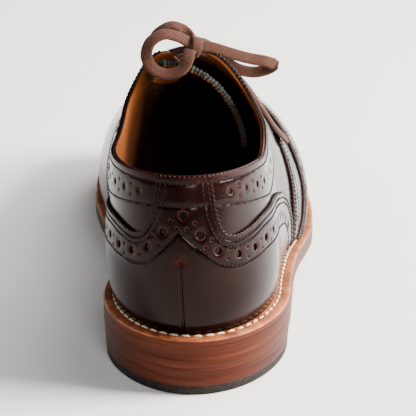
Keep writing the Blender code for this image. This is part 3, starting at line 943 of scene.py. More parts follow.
class Draft:
    """A mesh while its points and faces are worked out."""

    def __init__(self) -> None:
        """Start with nothing."""
        self.points: list[Array] = []
        self.count = 0
        self.faces: list[list[int]] = []
        self.corners: list[Array] = []
        self.finishes: list[int] = []
        self.burnish_and_painted_shade: list[Array] = []

    def add(self, grid: Array, burnish_and_painted_shade: Union[Array, float] = 0.0) -> Array:
        """Add points.

        Args:
            grid: Points in an array of any shape.
            burnish_and_painted_shade: How burnished each point is; on the quarters' lining, how much painted
                shade it takes.

        Returns:
            The points' numbers in the same shape.
        """
        flat = grid.reshape(-1, 3)
        self.points.append(flat)
        self.burnish_and_painted_shade.append(np.broadcast_to(np.asarray(burnish_and_painted_shade, float), grid.shape[:-1]).reshape(-1))
        numbers = np.arange(self.count, self.count + len(flat)).reshape(grid.shape[:-1])
        self.count += len(flat)
        return numbers

    def face(self, numbers: Array, normals: Optional[Array] = None, finish: int = 0) -> None:
        """Add faces.

        Args:
            numbers: Corner numbers, one row a face.
            normals: Normals of the corners, or nothing for the mesh's own.
            finish: Which material the faces have.
        """
        if normals is None:
            normals = np.zeros((*numbers.shape, 3))
        self.faces.extend(numbers.tolist())
        self.corners.append(normals.reshape(-1, 3))
        self.finishes.extend([finish] * len(numbers))

    def sheet(self, grid: Array, normals: Optional[Array] = None, finish: int = 0,
              flip: bool = False) -> None:
        """Add the four-sided faces of a grid of points.

        Args:
            grid: The points' numbers.
            normals: Normals in the same grid, or nothing for the mesh's own.
            finish: Which material the faces have.
            flip: Turn the faces over.
        """

        def quads(rows: Array) -> Array:
            """Each face's four corners."""
            corners = [rows[:-1, :-1], rows[1:, :-1], rows[1:, 1:], rows[:-1, 1:]]
            return np.stack(corners[::-1] if flip else corners, axis=2).reshape(-1, 4, *rows.shape[2:])

        self.face(quads(grid), None if normals is None else quads(normals), finish)

    def piece(self, name: str, materials: Sequence[Material], weld: bool = True) -> Piece:
        """Make the mesh's object.

        Args:
            name: The piece's name.
            materials: Its materials in order.
            weld: Join points that fall together.

        Returns:
            The object.
        """
        points = np.concatenate(self.points)
        burnish_and_painted_shade = np.concatenate(self.burnish_and_painted_shade)
        corners = np.concatenate(self.corners)
        faces, finishes = self.faces, self.finishes
        if weld:
            points, burnish_and_painted_shade, faces, corners, finishes = self.welded(points, burnish_and_painted_shade, corners)
        mesh = bpy.data.meshes.new(name)
        mesh.from_pydata(points.tolist(), [], faces)
        mesh.polygons.foreach_set("material_index", finishes)
        mesh.polygons.foreach_set("use_smooth", [True] * len(faces))
        mesh.attributes.new("burnish_and_painted_shade", "FLOAT", "POINT").data.foreach_set("value", burnish_and_painted_shade)
        for material in materials:
            mesh.materials.append(material)
        mesh.update()
        if np.abs(corners).max() > 0:
            mesh.normals_split_custom_set(corners.tolist())
        made = bpy.data.objects.new(name, mesh)
        bpy.context.scene.collection.objects.link(made)
        return made

    def welded(self, points: Array, burnish_and_painted_shade: Array, corners: Array) -> tuple:
        """Points that fall together made one, and faces that vanish dropped.

        Args:
            points: All points.
            burnish_and_painted_shade: Their burnish.
            corners: Normals of the faces' corners.

        Returns:
            What is left: points, burnish, faces, normals and the faces' materials.
        """
        keys = np.round(points / (MM / 200)).astype(np.int64)
        _, first, which = np.unique(keys, axis=0, return_index=True, return_inverse=True)
        which = which.reshape(-1)
        faces, finishes, kept = [], [], []
        at = 0
        for face, finish in zip(self.faces, self.finishes):
            places: dict[int, int] = {}
            for place, corner in enumerate(face, at):
                places.setdefault(int(which[corner]), place)
            at += len(face)
            if len(places) > 2:
                faces.append(list(places))
                finishes.append(finish)
                kept.extend(places.values())
        return points[first], burnish_and_painted_shade[first], faces, corners[kept], finishes

    def fan(self, ring: Array, middle: Array, normals: Optional[Array] = None) -> None:
        """Close a ring of points to its middle."""
        self.face(np.stack([ring, np.roll(ring, -1), np.repeat(middle, len(ring))], axis=1), normals)


class Patch:
    """A stretch of the last with flat pattern coordinates in metres."""

    def __init__(self, last: Last) -> None:
        """Keep the last."""
        self.last = last

    def ribbed(self, flat: Array) -> tuple[Array, Array]:
        """Turns and rib angles of pattern places."""
        raise NotImplementedError

    def lay(self, flat: Array) -> tuple[Array, Array]:
        """Points and normals of pattern places on the bare last."""
        return self.last.skin(*self.ribbed(flat))

    def walk(self, flat: Array, ways: Array) -> Array:
        """How far pattern places move for short ways in space.

        Args:
            flat: Pattern places.
            ways: The ways in space.

        Returns:
            The moves on the pattern.
        """
        step = 0.05 * MM
        slopes = []
        for axis in range(2):
            nudge = np.zeros(2)
            nudge[axis] = step
            ahead = self.last.surface(*self.ribbed(flat + nudge))
            behind = self.last.surface(*self.ribbed(flat - nudge))
            slopes.append((ahead - behind) / (2 * step))
        first, second = slopes
        aa, bb = (first * first).sum(-1), (second * second).sum(-1)
        ab = (first * second).sum(-1)
        wa, wb = (ways * first).sum(-1), (ways * second).sum(-1)
        area = np.maximum(aa * bb - ab * ab, 1e-9)
        return np.stack([(wa * bb - wb * ab) / area, (wb * aa - wa * ab) / area], axis=-1)

    def beside(self, flat: Array, step: float) -> Array:
        """Pattern places along a line and close beside it, so a sewn channel presses in cleanly.

        Args:
            flat: The line on the pattern.
            step: Distance between places along it.

        Returns:
            The places.
        """
        length = run_lengths(self.lay(spaced(flat, 600))[0])[-1]
        line = spaced(flat, max(2, int(length / step)))
        points, normals = self.lay(line)
        across = unit(np.cross(normals, np.gradient(points, axis=0)))
        return np.concatenate([line + self.walk(line, across * off * MM) for off in (-0.8, -0.35, 0.35, 0.8)])


class HeelPatch(Patch):
    """Round the heel: distance from the back seam, outer side up, and height above the floor."""

    def ribbed(self, flat: Array) -> tuple[Array, Array]:
        """Turns and rib angles of pattern places."""
        turn = self.last.turn_at(flat[..., 0])
        return turn, self.last.angle_at_height(turn, flat[..., 1])


class ForepartPatch(Patch):
    """Over the forepart: way forward by turns, and way down a rib from the ridge, inner side up."""

    a_turn: float = 370 * MM
    girth: float = 90 * MM

    def ribbed(self, flat: Array) -> tuple[Array, Array]:
        """Turns and rib angles of pattern places.

        Args:
            flat: The places.

        Returns:
            The turns and the angles.
        """
        share = np.clip(flat[..., 0] / self.a_turn, 0, 1)
        turn = np.where(flat[..., 1] > 0, 2.0 - share, share)
        return turn, RIGHT_ANGLE * np.clip(1 - np.abs(flat[..., 1]) / self.girth, 0, 1)

    def spot(self, along: Array, share: Array, side: Side) -> Array:
        """Pattern places at distances along the last and shares of the way up a rib."""
        turn = self.last.turn_along(along, 1.0)
        return np.stack([turn * self.a_turn, -side.value * (1 - share) * self.girth], axis=-1)


@dataclass
class Mark:
    """Lines or holes that press into a leather piece and show red."""

    points: Array
    depth: float
    width: float
    radius: float = 0.0
    stain: float = 0.0
    stain_width: float = 1.1 * MM

    def distance(self, points: Array) -> Array:
        """Distance of points from the nearest place of the mark.

        Args:
            points: The points.

        Returns:
            The distances.
        """
        near = np.empty(len(points))
        for part in blocks(len(points)):
            ways = points[part, None] - self.points[None]
            near[part] = np.sqrt((ways**2).sum(-1).min(axis=1))
        return near

    def height(self, points: Array) -> Array:
        """How far the mark moves the surface out."""
        return -self.depth * np.exp(-(((self.distance(points) - self.radius) / self.width) ** 2))

    def red(self, points: Array) -> Array:
        """How much the mark burnishes."""
        beyond = np.maximum(self.distance(points) - self.radius, 0)
        return self.stain * np.exp(-((beyond / self.stain_width) ** 2))


class Cut(Enum):
    """How an edge is cut."""

    PLAIN = "plain"
    PINKED = "pinked"
    JOINED = "joined"


@dataclass
class Run:
    """A stretch of a pattern piece's outline."""

    flat: Array
    out: Array
    reach: Array
    cut: Cut

    def inset(self, depth: Union[Array, float]) -> Array:
        """A line on the pattern that runs inside the edge."""
        return self.flat - self.out * np.broadcast_to(depth, len(self.flat))[:, None]


@dataclass
class Pinking:
    """The pinking tool's tooth."""

    pitch: float = 1.75 * MM
    depth: float = 0.65 * MM
    tooth: tuple[float, ...] = (0.0, 0.55, 1.0, 0.55)
    plain_step: float = 1.2 * MM

    def run(self, patch: Patch, path: Array, cut: Cut) -> Run:
        """Cut one stretch of an outline.

        Args:
            patch: The stretch of last that the pattern lies on.
            path: The edge on the pattern, with the piece on its left.
            cut: How it is cut.

        Returns:
            The stretch.
        """
        fine = spaced(path, 1500)
        run = run_lengths(patch.lay(fine)[0])
        step = self.pitch / len(self.tooth) if cut is Cut.PINKED else self.plain_step
        teeth = max(2, round(run[-1] / (step * len(self.tooth))))
        even = np.linspace(0, run[-1], teeth * len(self.tooth) + 1)
        flat = at_lengths(fine, run, even)
        points, normals = patch.lay(flat)
        out = unit(np.cross(np.gradient(points, axis=0), normals))
        reach = np.zeros(len(flat))
        if cut is Cut.PINKED:
            reach = self.depth * np.resize(self.tooth, len(flat))
        return Run(flat, patch.walk(flat, out * MM) / MM, reach, cut)


class Punch(NamedTuple):
    """A hole on a pattern."""

    place: tuple[float, float]
    radius: float


def inside(points: Array, loop: Array) -> Array:
    """Which points lie within a closed loop.

    Args:
        points: Places on the pattern.
        loop: The loop's corners.

    Returns:
        True for the points within.
    """
    result = np.zeros(len(points), bool)
    following = np.roll(loop, -1, axis=0)
    rise = following[:, 1] - loop[:, 1]
    rise = np.where(rise == 0, 1e-15, rise)
    for part in blocks(len(points)):
        x, y = points[part, 0:1], points[part, 1:2]
        crosses = (loop[None, :, 1] > y) != (following[None, :, 1] > y)
        at = loop[None, :, 0] + (y - loop[None, :, 1]) / rise * (following - loop)[None, :, 0]
        result[part] = (crosses & (x < at)).sum(axis=1) % 2 == 1
    return result


def nearest(points: Array, others: Array) -> Array:
    """Distance on the pattern from each point to the nearest of others."""
    return Mark(others, 0.0, 1.0).distance(points) if len(others) else np.full(len(points), 1.0)


class Rim(NamedTuple):
    """A line on the pattern, and a sheet's points along it: numbers above and below, and normals on top."""

    line: Array
    upper: Array
    lower: Array
    normals: Array


@dataclass
class Panel:
    """A leather piece cut from a pattern and laid on the last."""

    patch: Patch
    runs: list[Run]
    base: float
    top: float
    step: float
    punches: list[Punch]
    marks: list[Mark]
    extra: Array
    bevel: float = 0.4 * MM
    edge_stain: float = 0.28
    hole_stain: float = 0.62
    shoulder_stain: float = 0.22
    wall_stain: float = 0.05
    pit_stain: float = 0.12
    under_stain: float = 0.2
    pit_depth: float = 0.95 * MM
    guard: float = 0.55 * MM
    sides: int = 14
    probe: float = 0.12 * MM
    scale: float = 1000.0

    def rings(self, grow: float) -> list[Array]:
        """The holes' rims on the pattern, grown by a distance.

        Args:
            grow: The distance.

        Returns:
            The rims, in the punches' order.
        """
        made = []
        turn = np.arange(self.sides) / self.sides * 2 * math.pi
        for punch in self.punches:
            centre = np.repeat(np.array([punch.place]), self.sides, axis=0)
            ways = spokes(self.patch.lay(centre)[1], (0.0, 0.0, 1.0), turn)
            made.append(centre + self.patch.walk(centre, ways * (punch.radius + grow)))
        return made

    def raised(self, flat: Array) -> tuple[Array, Array, Array]:
        """Points, normals and burnish of the top at pattern places, with the marks pressed in.

        Args:
            flat: The places.

        Returns:
            Points, normals and burnish.
        """
        points, normals = self.patch.lay(flat)
        guide = np.where(np.abs(normals[:, 2:]) > 0.9, (0.0, 1.0, 0.0), (0.0, 0.0, 1.0))
        first = unit(np.cross(normals, guide))
        height, red = np.zeros(len(flat)), np.zeros(len(flat))
        tilt = np.zeros_like(points)
        for mark in self.marks:
            height = height + mark.height(points)
            red = np.maximum(red, mark.red(points))
            for way in (first, np.cross(normals, first)):
                rise = mark.height(points + way * self.probe) - mark.height(points - way * self.probe)
                tilt += way * (rise / (2 * self.probe))[:, None]
        placed = self.patch.last.clear(points + normals * (self.top + height)[:, None])
        return placed, unit(normals - tilt), red

    def filling(self, loop: Array, rings: list[Array]) -> Array:
        """Places inside the outline, clear of its edge and of the holes.

        Args:
            loop: The outline.
            rings: The holes' rims.

        Returns:
            The places.
        """
        low, high = loop.min(axis=0), loop.max(axis=0)
        rows = np.arange(low[1], high[1], self.step * 0.87)
        columns = np.arange(low[0], high[0], self.step)
        grid = np.stack(np.meshgrid(columns, rows, indexing="ij"), axis=-1)
        grid[:, 1::2, 0] += self.step / 2
        grid = grid.reshape(-1, 2)
        ringed = np.concatenate(self.rings(self.bevel * 0.8 + self.guard))
        for added, clear in ((self.extra, 0.6), (ringed, 0.5)):
            grid = np.concatenate([grid[nearest(grid, added) > self.step * clear], added])
        grid = grid[inside(grid, loop)]
        grid = grid[nearest(grid, loop) > self.step * 0.45]
        for ring in rings:
            centre = ring.mean(axis=0)
            near = (np.abs(grid - centre) < np.abs(ring - centre).max(axis=0)).all(axis=1)
            keep = ~near
            keep[near] = ~inside(grid[near], ring) & (nearest(grid[near], ring) > 0.15 * MM)
            grid = grid[keep]
        return grid

    def sheet(self, loop: Array, rings: list[Array]) -> tuple[Array, Array, Array]:
        """Cut the outline and holes out as a sheet of triangles.

        Args:
            loop: The outline.
            rings: The holes' rims.

        Returns:
            The sheet's corners on the pattern, its triangles, and the numbers of loop's and rings' corners.
        """
        places = np.concatenate([loop, *rings, self.filling(loop, rings)])
        lines = []
        at = 0
        for line in (loop, *rings):
            lines.extend((at + i, at + (i + 1) % len(line)) for i in range(len(line)))
            at += len(line)
        cut = delaunay_2d_cdt([Vector(place * self.scale) for place in places], lines, [], 0, 1e-5, True)
        where = np.array([tuple(place) for place in cut[0]]) / self.scale
        index = np.full(len(places), -1)
        for number, origins in enumerate(cut[3]):
            index[list(origins)] = number
        faces = np.array([face for face in cut[2] if len(face) == 3])
        faces = faces[inside(where[faces].mean(axis=1), loop)]
        for ring in rings:
            faces = faces[~inside(where[faces].mean(axis=1), ring)]
        return where, faces, index[:at]

    def draft(self) -> Draft:
        """Cut the piece out, lay it down and give it its underside, bevelled edge and punched holes.

        Returns:
            The mesh.
        """
        flat, out, reach = (np.concatenate([getattr(run, name) for run in self.runs])
                            for name in ("flat", "out", "reach"))
        soft = np.concatenate([np.full(len(run.flat), run.cut is not Cut.JOINED) for run in self.runs])
        loop = flat + out * (reach - self.bevel * soft)[:, None]
        where, faces, index = self.sheet(loop, self.rings(self.bevel * 0.8))
        top, normals, red = self.raised(where)
        bare, ways = self.patch.lay(where)
        outline, holes = index[:len(flat)], index[len(flat):].reshape(-1, self.sides)
        stain = np.zeros(len(where))
        stain[holes] = self.hole_stain
        stain[outline] = self.edge_stain
        draft = Draft()
        upper = draft.add(top, np.maximum(red, stain))
        lower = draft.add(self.patch.last.clear(bare + ways * self.base), self.under_stain)
        draft.face(upper[faces], normals[faces])
        draft.face(lower[faces[:, ::-1]])
        edges = zip((flat + out * reach[:, None], *self.rings(0.0)), (outline, *holes))
        rims = [Rim(line, upper[corners], lower[corners], normals[corners]) for line, corners in edges]
        self.wall(draft, rims[0])
        for rim in rims[1:]:
            self.pit(draft, rim)
        return draft

    def wall(self, draft: Draft, rim: Rim) -> None:
        """Close the outline in the mesh: bevel, upright wall and foot.

        Args:
            draft: The mesh.
            rim: The outline.
        """
        points, ways = self.patch.lay(rim.line)
        clear = self.patch.last.clear
        shoulder = draft.add(clear(points + ways * (self.top - self.bevel * 0.9)), self.edge_stain)
        foot = draft.add(clear(points + ways * self.base), self.edge_stain / 2)
        outward = np.cross(unit(np.roll(points, -1, axis=0) - np.roll(points, 1, axis=0)), ways)
        rows = np.stack([rim.upper, shoulder, foot, rim.lower], axis=1)
        facing = np.stack([rim.normals, unit(ways + outward * 1.2), outward, -ways], axis=1)
        draft.sheet(closed(rows), closed(facing), flip=True)

    def pit(self, draft: Draft, rim: Rim) -> None:
        """Close one punched hole in the mesh: bevel, wall and floor, with the underside closed below it.

        Args:
            draft: The mesh.
            rim: The hole's rim.
        """
        points, ways = self.patch.lay(rim.line)
        floor = points + ways * (self.top - min(self.pit_depth, (self.top - self.base) * 0.8))
        shoulder = draft.add(points + ways * (self.top - self.bevel * 0.7), self.shoulder_stain)
        foot = draft.add(floor, self.wall_stain)
        middle = draft.add(floor.mean(axis=0)[None], self.pit_stain)
        under = draft.add((points + ways * self.base).mean(axis=0)[None], self.under_stain)
        inward = unit(points.mean(axis=0) - points)
        rows = np.stack([rim.upper, shoulder, foot], axis=1)
        facing = np.stack([rim.normals, unit(inward + ways), inward], axis=1)
        draft.sheet(closed(rows), closed(facing))
        draft.fan(foot, middle, np.broadcast_to(ways[:, None], (self.sides, 3, 3)))
        draft.fan(rim.lower[::-1], under)


def finish_piece(piece: Piece, slot: Slot, nodes: Sequence[str] = ()) -> None:
    """Let a piece ride on the shoe and stand for CAD nodes.

    Args:
        piece: The piece.
        slot: Not used.
        nodes: The CAD nodes it stands for.
    """
    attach(piece, "root")
    if nodes:
        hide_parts(*nodes)
    log.info("%s: %d faces", piece.name, len(piece.data.polygons))


@dataclass
class Stitching:
    """Rows of sewn thread, each stitch a short bent capsule."""

    material: Material
    pitch: float = 1.85 * MM
    length: float = 1.6 * MM
    radius: float = 0.27 * MM
    sides: int = 6
    flatness: float = 0.8
    bend: float = 1.6
    rows: list[tuple[Array, Array, Array]] = field(default_factory=list)

    def template(self) -> tuple[Array, list[Array]]:
        """One stitch along X, modelled from a sphere drawn out in edit mode.

        Returns:
            Its points, and its three-cornered and four-cornered faces.
        """
        bpy.ops.object.select_all(action="DESELECT")
        bpy.ops.mesh.primitive_uv_sphere_add(segments=self.sides, ring_count=4, radius=self.radius)
        stitch = bpy.context.object
        bpy.ops.object.mode_set(mode="EDIT")
        bpy.ops.mesh.select_all(action="SELECT")
        bpy.ops.transform.rotate(value=RIGHT_ANGLE, orient_axis="Y", center_override=(0.0, 0.0, 0.0))
        bpy.ops.transform.resize(value=(self.length / (2 * self.radius), 1.0, self.flatness))
        bpy.ops.object.mode_set(mode="OBJECT")
        points = np.array([tuple(corner.co) for corner in stitch.data.vertices])
        faces = [tuple(face.vertices) for face in stitch.data.polygons]
        bpy.data.objects.remove(stitch)
        points[:, 2] -= (points[:, 0] / self.length) ** 2 * self.radius * self.bend
        return points, [np.array([face for face in faces if len(face) == corners]) for corners in (3, 4)]

    def sew(self, points: Array, normals: Array) -> None:
        """Add a row along a line with the surface's normals.

        Args:
            points: The line.
            normals: The surface's normals.
        """
        run = run_lengths(points)
        count = max(1, int(run[-1] / self.pitch))
        at = (np.arange(count) + 0.5) * run[-1] / count
        lines = (points, np.gradient(points, axis=0), normals)
        place, way, up = (at_lengths(line, run, at) for line in lines)
        self.rows.append((place, unit(way), unit(up)))

    def sew_flat(self, patch: Patch, flat: Array, lift: float) -> Array:
        """Add a row along a line on a pattern.

        Args:
            patch: The stretch of last.
            flat: The line on the pattern.
            lift: Height of the leather's face over the last.

        Returns:
            Points close along the line on the bare last, for pressing the row in.
        """
        points, normals = patch.lay(spaced(flat, 900))
        self.sew(points + normals * lift, normals)
        return spaced(points, max(2, int(run_lengths(points)[-1] / (0.5 * MM))))

    def piece(self, name: str) -> Piece:
        """All rows as one joined piece.

        Args:
            name: The piece's name.

        Returns:
            The piece.
        """
        points, faces = self.template()
        draft = Draft()
        for place, way, up in self.rows:
            across = unit(np.cross(up, way))
            axes = np.stack([way, across, np.cross(way, across)], axis=1)
            numbers = draft.add(place[:, None] + points @ axes)
            for corners in faces:
                draft.face(numbers[:, corners].reshape(-1, corners.shape[1]))
        return draft.piece(name, [self.material], weld=False)


@dataclass
class Quarters:
    """The quarters: the upper's outer leather, its rolled edge and its tan lining."""

    last: Last
    leather: Material
    lining: Material
    wall: float = 2.0 * MM
    rows: int = 46
    rim_steps: int = 6
    rim_rise: float = 0.8
    rim_red: float = 0.30
    facing_red: float = 0.10
    # Depth below the topline at which the lining's painted shade is full.
    lining_shade_depth: float = 17 * MM
    facing_insets: tuple[float, float] = (1.8 * MM, 4.0 * MM)
    eyelet_rim: tuple[tuple[float, float], ...] = (
        (3.5, -0.1), (3.1, 0.12), (2.7, 0.26), (2.35, 0.2), (2.15, -0.05), (2.1, -0.6),
    )
    eyelet_red: float = 0.25
    eyelet_floor_red: float = 0.2
    eyelet_depth: float = 0.6 * MM

    def turns(self) -> Array:
        """Places round the upper, closer round the heel and throat.

        Returns:
            The places, once round.
        """
        keys = [float(self.last.turn_along(key, 1.0)) for key in (self.last.facing_top, self.last.throat_end)]
        heel = np.linspace(0, keys[0], 150)
        throat = np.linspace(keys[0], keys[1], 60)
        toe = np.linspace(keys[1], 1.0, 60)
        shares = np.concatenate([heel, throat[1:], toe[1:]])
        return np.concatenate([shares, 2.0 - shares[-2:0:-1]])

    def build(self) -> Piece:
        """Lay the quarters over the last, and roll their edge over from the leather to the lining.

        Returns:
            The piece.
        """
        turns = self.turns()
        along = self.last.along(turns)
        edge = self.last.upper_edge(turns)
        angles = edge[:, None] * (np.linspace(0, 1, self.rows) ** 1.15)[None]
        points, normals = self.last.skin(np.broadcast_to(turns[:, None], angles.shape), angles)
        outer = self.last.clear(points)
        inner = self.last.clear(points - normals * self.wall)
        joined = along > self.last.throat_end - MM / 100
        for grid in (outer, inner, normals):
            partner = np.roll(grid[::-1, -1], 1, axis=0)
            grid[joined, -1] = (grid[joined, -1] + partner[joined]) / 2
        normals = unit(normals)
        draft = Draft()
        # Painted shade on the lining: each inner point stores how far it darkens with depth below the
        # topline.
        steps = np.linalg.norm(np.diff(inner[:, ::-1], axis=1, prepend=inner[:, -1:]), axis=-1)
        lining_shade = np.clip(np.cumsum(steps, axis=1)[:, ::-1] / self.lining_shade_depth, 0, 1)
        out, into, facing = (closed(grid) for grid in (draft.add(outer), draft.add(inner, lining_shade), normals))
        draft.sheet(out, facing)
        draft.sheet(into, -facing, finish=1, flip=True)
        draft.sheet(np.stack([into[:, 0], out[:, 0]], axis=1))
        red = np.where(along < self.last.facing_top - 3 * MM, self.rim_red, self.facing_red)
        middle = (outer[:, -1] + inner[:, -1]) / 2
        up = unit(outer[:, -1] - outer[:, -2])
        half = np.linalg.norm(outer[:, -1] - inner[:, -1], axis=1)[:, None] / 2
        swing = np.linspace(0, math.pi, self.rim_steps + 2)[1:-1]
        bows = [normals[:, -1] * math.cos(lean) + up * math.sin(lean) * self.rim_rise for lean in swing]
        bows = [closed(draft.add(middle + half * bow, red)) for bow in bows]
        rows = np.stack([out[:, -1], *bows, into[:, -1]], axis=1)
        open_places = np.flatnonzero(~(joined & np.roll(joined, -1)))
        seam = self.rim_steps // 2 + 1
        for place in open_places:
            draft.sheet(rows[place:place + 2, :seam + 1])
            draft.sheet(rows[place:place + 2, seam:], finish=1)
        return draft.piece("quarters", [self.leather, self.lining])

    def facing_rows(self, thread: Stitching) -> None:
        """Sew two rows down each facing.

        Args:
            thread: The sewing that takes the rows.
        """
        along = np.linspace(self.last.facing_top + 5 * MM, self.last.throat_end - 2 * MM, 300)
        for side in Side:
            turn = self.last.turn_along(along, side.value)
            for inset in self.facing_insets:
                angle = self.last.angle_at_gap(turn, self.last.throat_gap(along) + inset)
                points, normals = self.last.skin(turn, angle)
                thread.sew(points + normals * 0.1 * MM, normals)

    def eyelets(self, places: Sequence[float], reach: float) -> Piece:
        """Punched eyelets with pressed rims, in pairs down the facings.

        Args:
            places: Their distances along the last.
            reach: Their distance from the ridge.

        Returns:
            The piece.
        """
        spin = np.linspace(0, 2 * math.pi, 25)[:-1]
        draft = Draft()
        for along in places:
            for side in Side:
                turn = self.last.turn_along(np.array([along]), side.value)
                points, normals = self.last.skin(turn, self.last.angle_at_gap(turn, reach))
                ways = spokes(normals, (0.0, 1.0, 0.0), spin)
                rings = [points + ways * width * MM + normals * rise * MM for width, rise in self.eyelet_rim]
                numbers = draft.add(np.stack(rings, axis=1), self.eyelet_red)
                draft.sheet(closed(numbers))
                floor = draft.add(points - normals * self.eyelet_depth, self.eyelet_floor_red)
                draft.fan(numbers[:, -1], floor)
        return draft.piece("facing_eyelets", [self.leather])


@dataclass
class Leatherwork:
    """What punched and sewn leather pieces share."""

    last: Last
    thread: Stitching
    leather: Material
    big: float = 1.40 * MM
    small: float = 0.38 * MM
    hole_pitch: float = 9.2 * MM
    seam_lift: float = 0.02 * MM
    seam_width: float = 0.55 * MM
    seam_depth: float = 0.18 * MM
    edge_red: tuple[float, float] = (0.24, 1.3 * MM)
    patch: Patch = field(init=False)
    pinking: Pinking = field(default_factory=Pinking)

    def cut(self, path: Array, kind: Cut = Cut.PLAIN) -> Run:
        """Cut one stretch of an outline."""
        return self.pinking.run(self.patch, path, kind)

    def sewn(self, lines: Sequence[Array], top: float, depth: float, step: float) -> tuple[list[Mark], Array]:
        """Sew rows on a piece.

        Args:
            lines: The rows on the pattern.
            top: Height of the leather's face over the last.
            depth: How deep the rows press in.
            step: Distance between the places that take up the pressing.

        Returns:
            The rows' marks, and pattern places close beside them.
        """
        pressed = [self.thread.sew_flat(self.patch, line, top + self.seam_lift) for line in lines]
        beside = np.concatenate([self.patch.beside(line, step) for line in lines])
        return [Mark(points, depth, self.seam_width) for points in pressed], beside

    def holes(self, first: float, count: int, big: float,
              rise: float) -> Iterator[tuple[float, float, float]]:
        """Places along, rises across and radii of a row of big holes with pairs of pinholes between.

        Args:
            first: Where the first big hole stands.
            count: How many big holes.
            big: Their radius.
            rise: How far the pinholes stand off the row.

        Returns:
            The holes one by one.
        """
        for number in range(count):
            at = first + number * self.hole_pitch
            yield at, 0.0, big
            yield at + self.hole_pitch / 2, rise, self.small
            yield at + self.hole_pitch / 2, -rise, self.small

    def rims(self, punches: Sequence[Punch], radius: float, depth: float, width: float, stain: float,
             stain_width: float) -> Mark:
        """The pressed and reddened rims of the holes of one size."""
        places = np.array([punch.place for punch in punches if punch.radius == radius])
        return Mark(self.patch.lay(places)[0], depth, width, radius, stain, stain_width)

    def reddened(self, edges: Sequence[Run], stain: float, width: float) -> Mark:
        """Red along edges, with nothing pressed in."""
        line = np.concatenate([edge.flat for edge in edges])
        return Mark(self.patch.lay(line)[0], 0.0, MM, 0.0, stain, width)


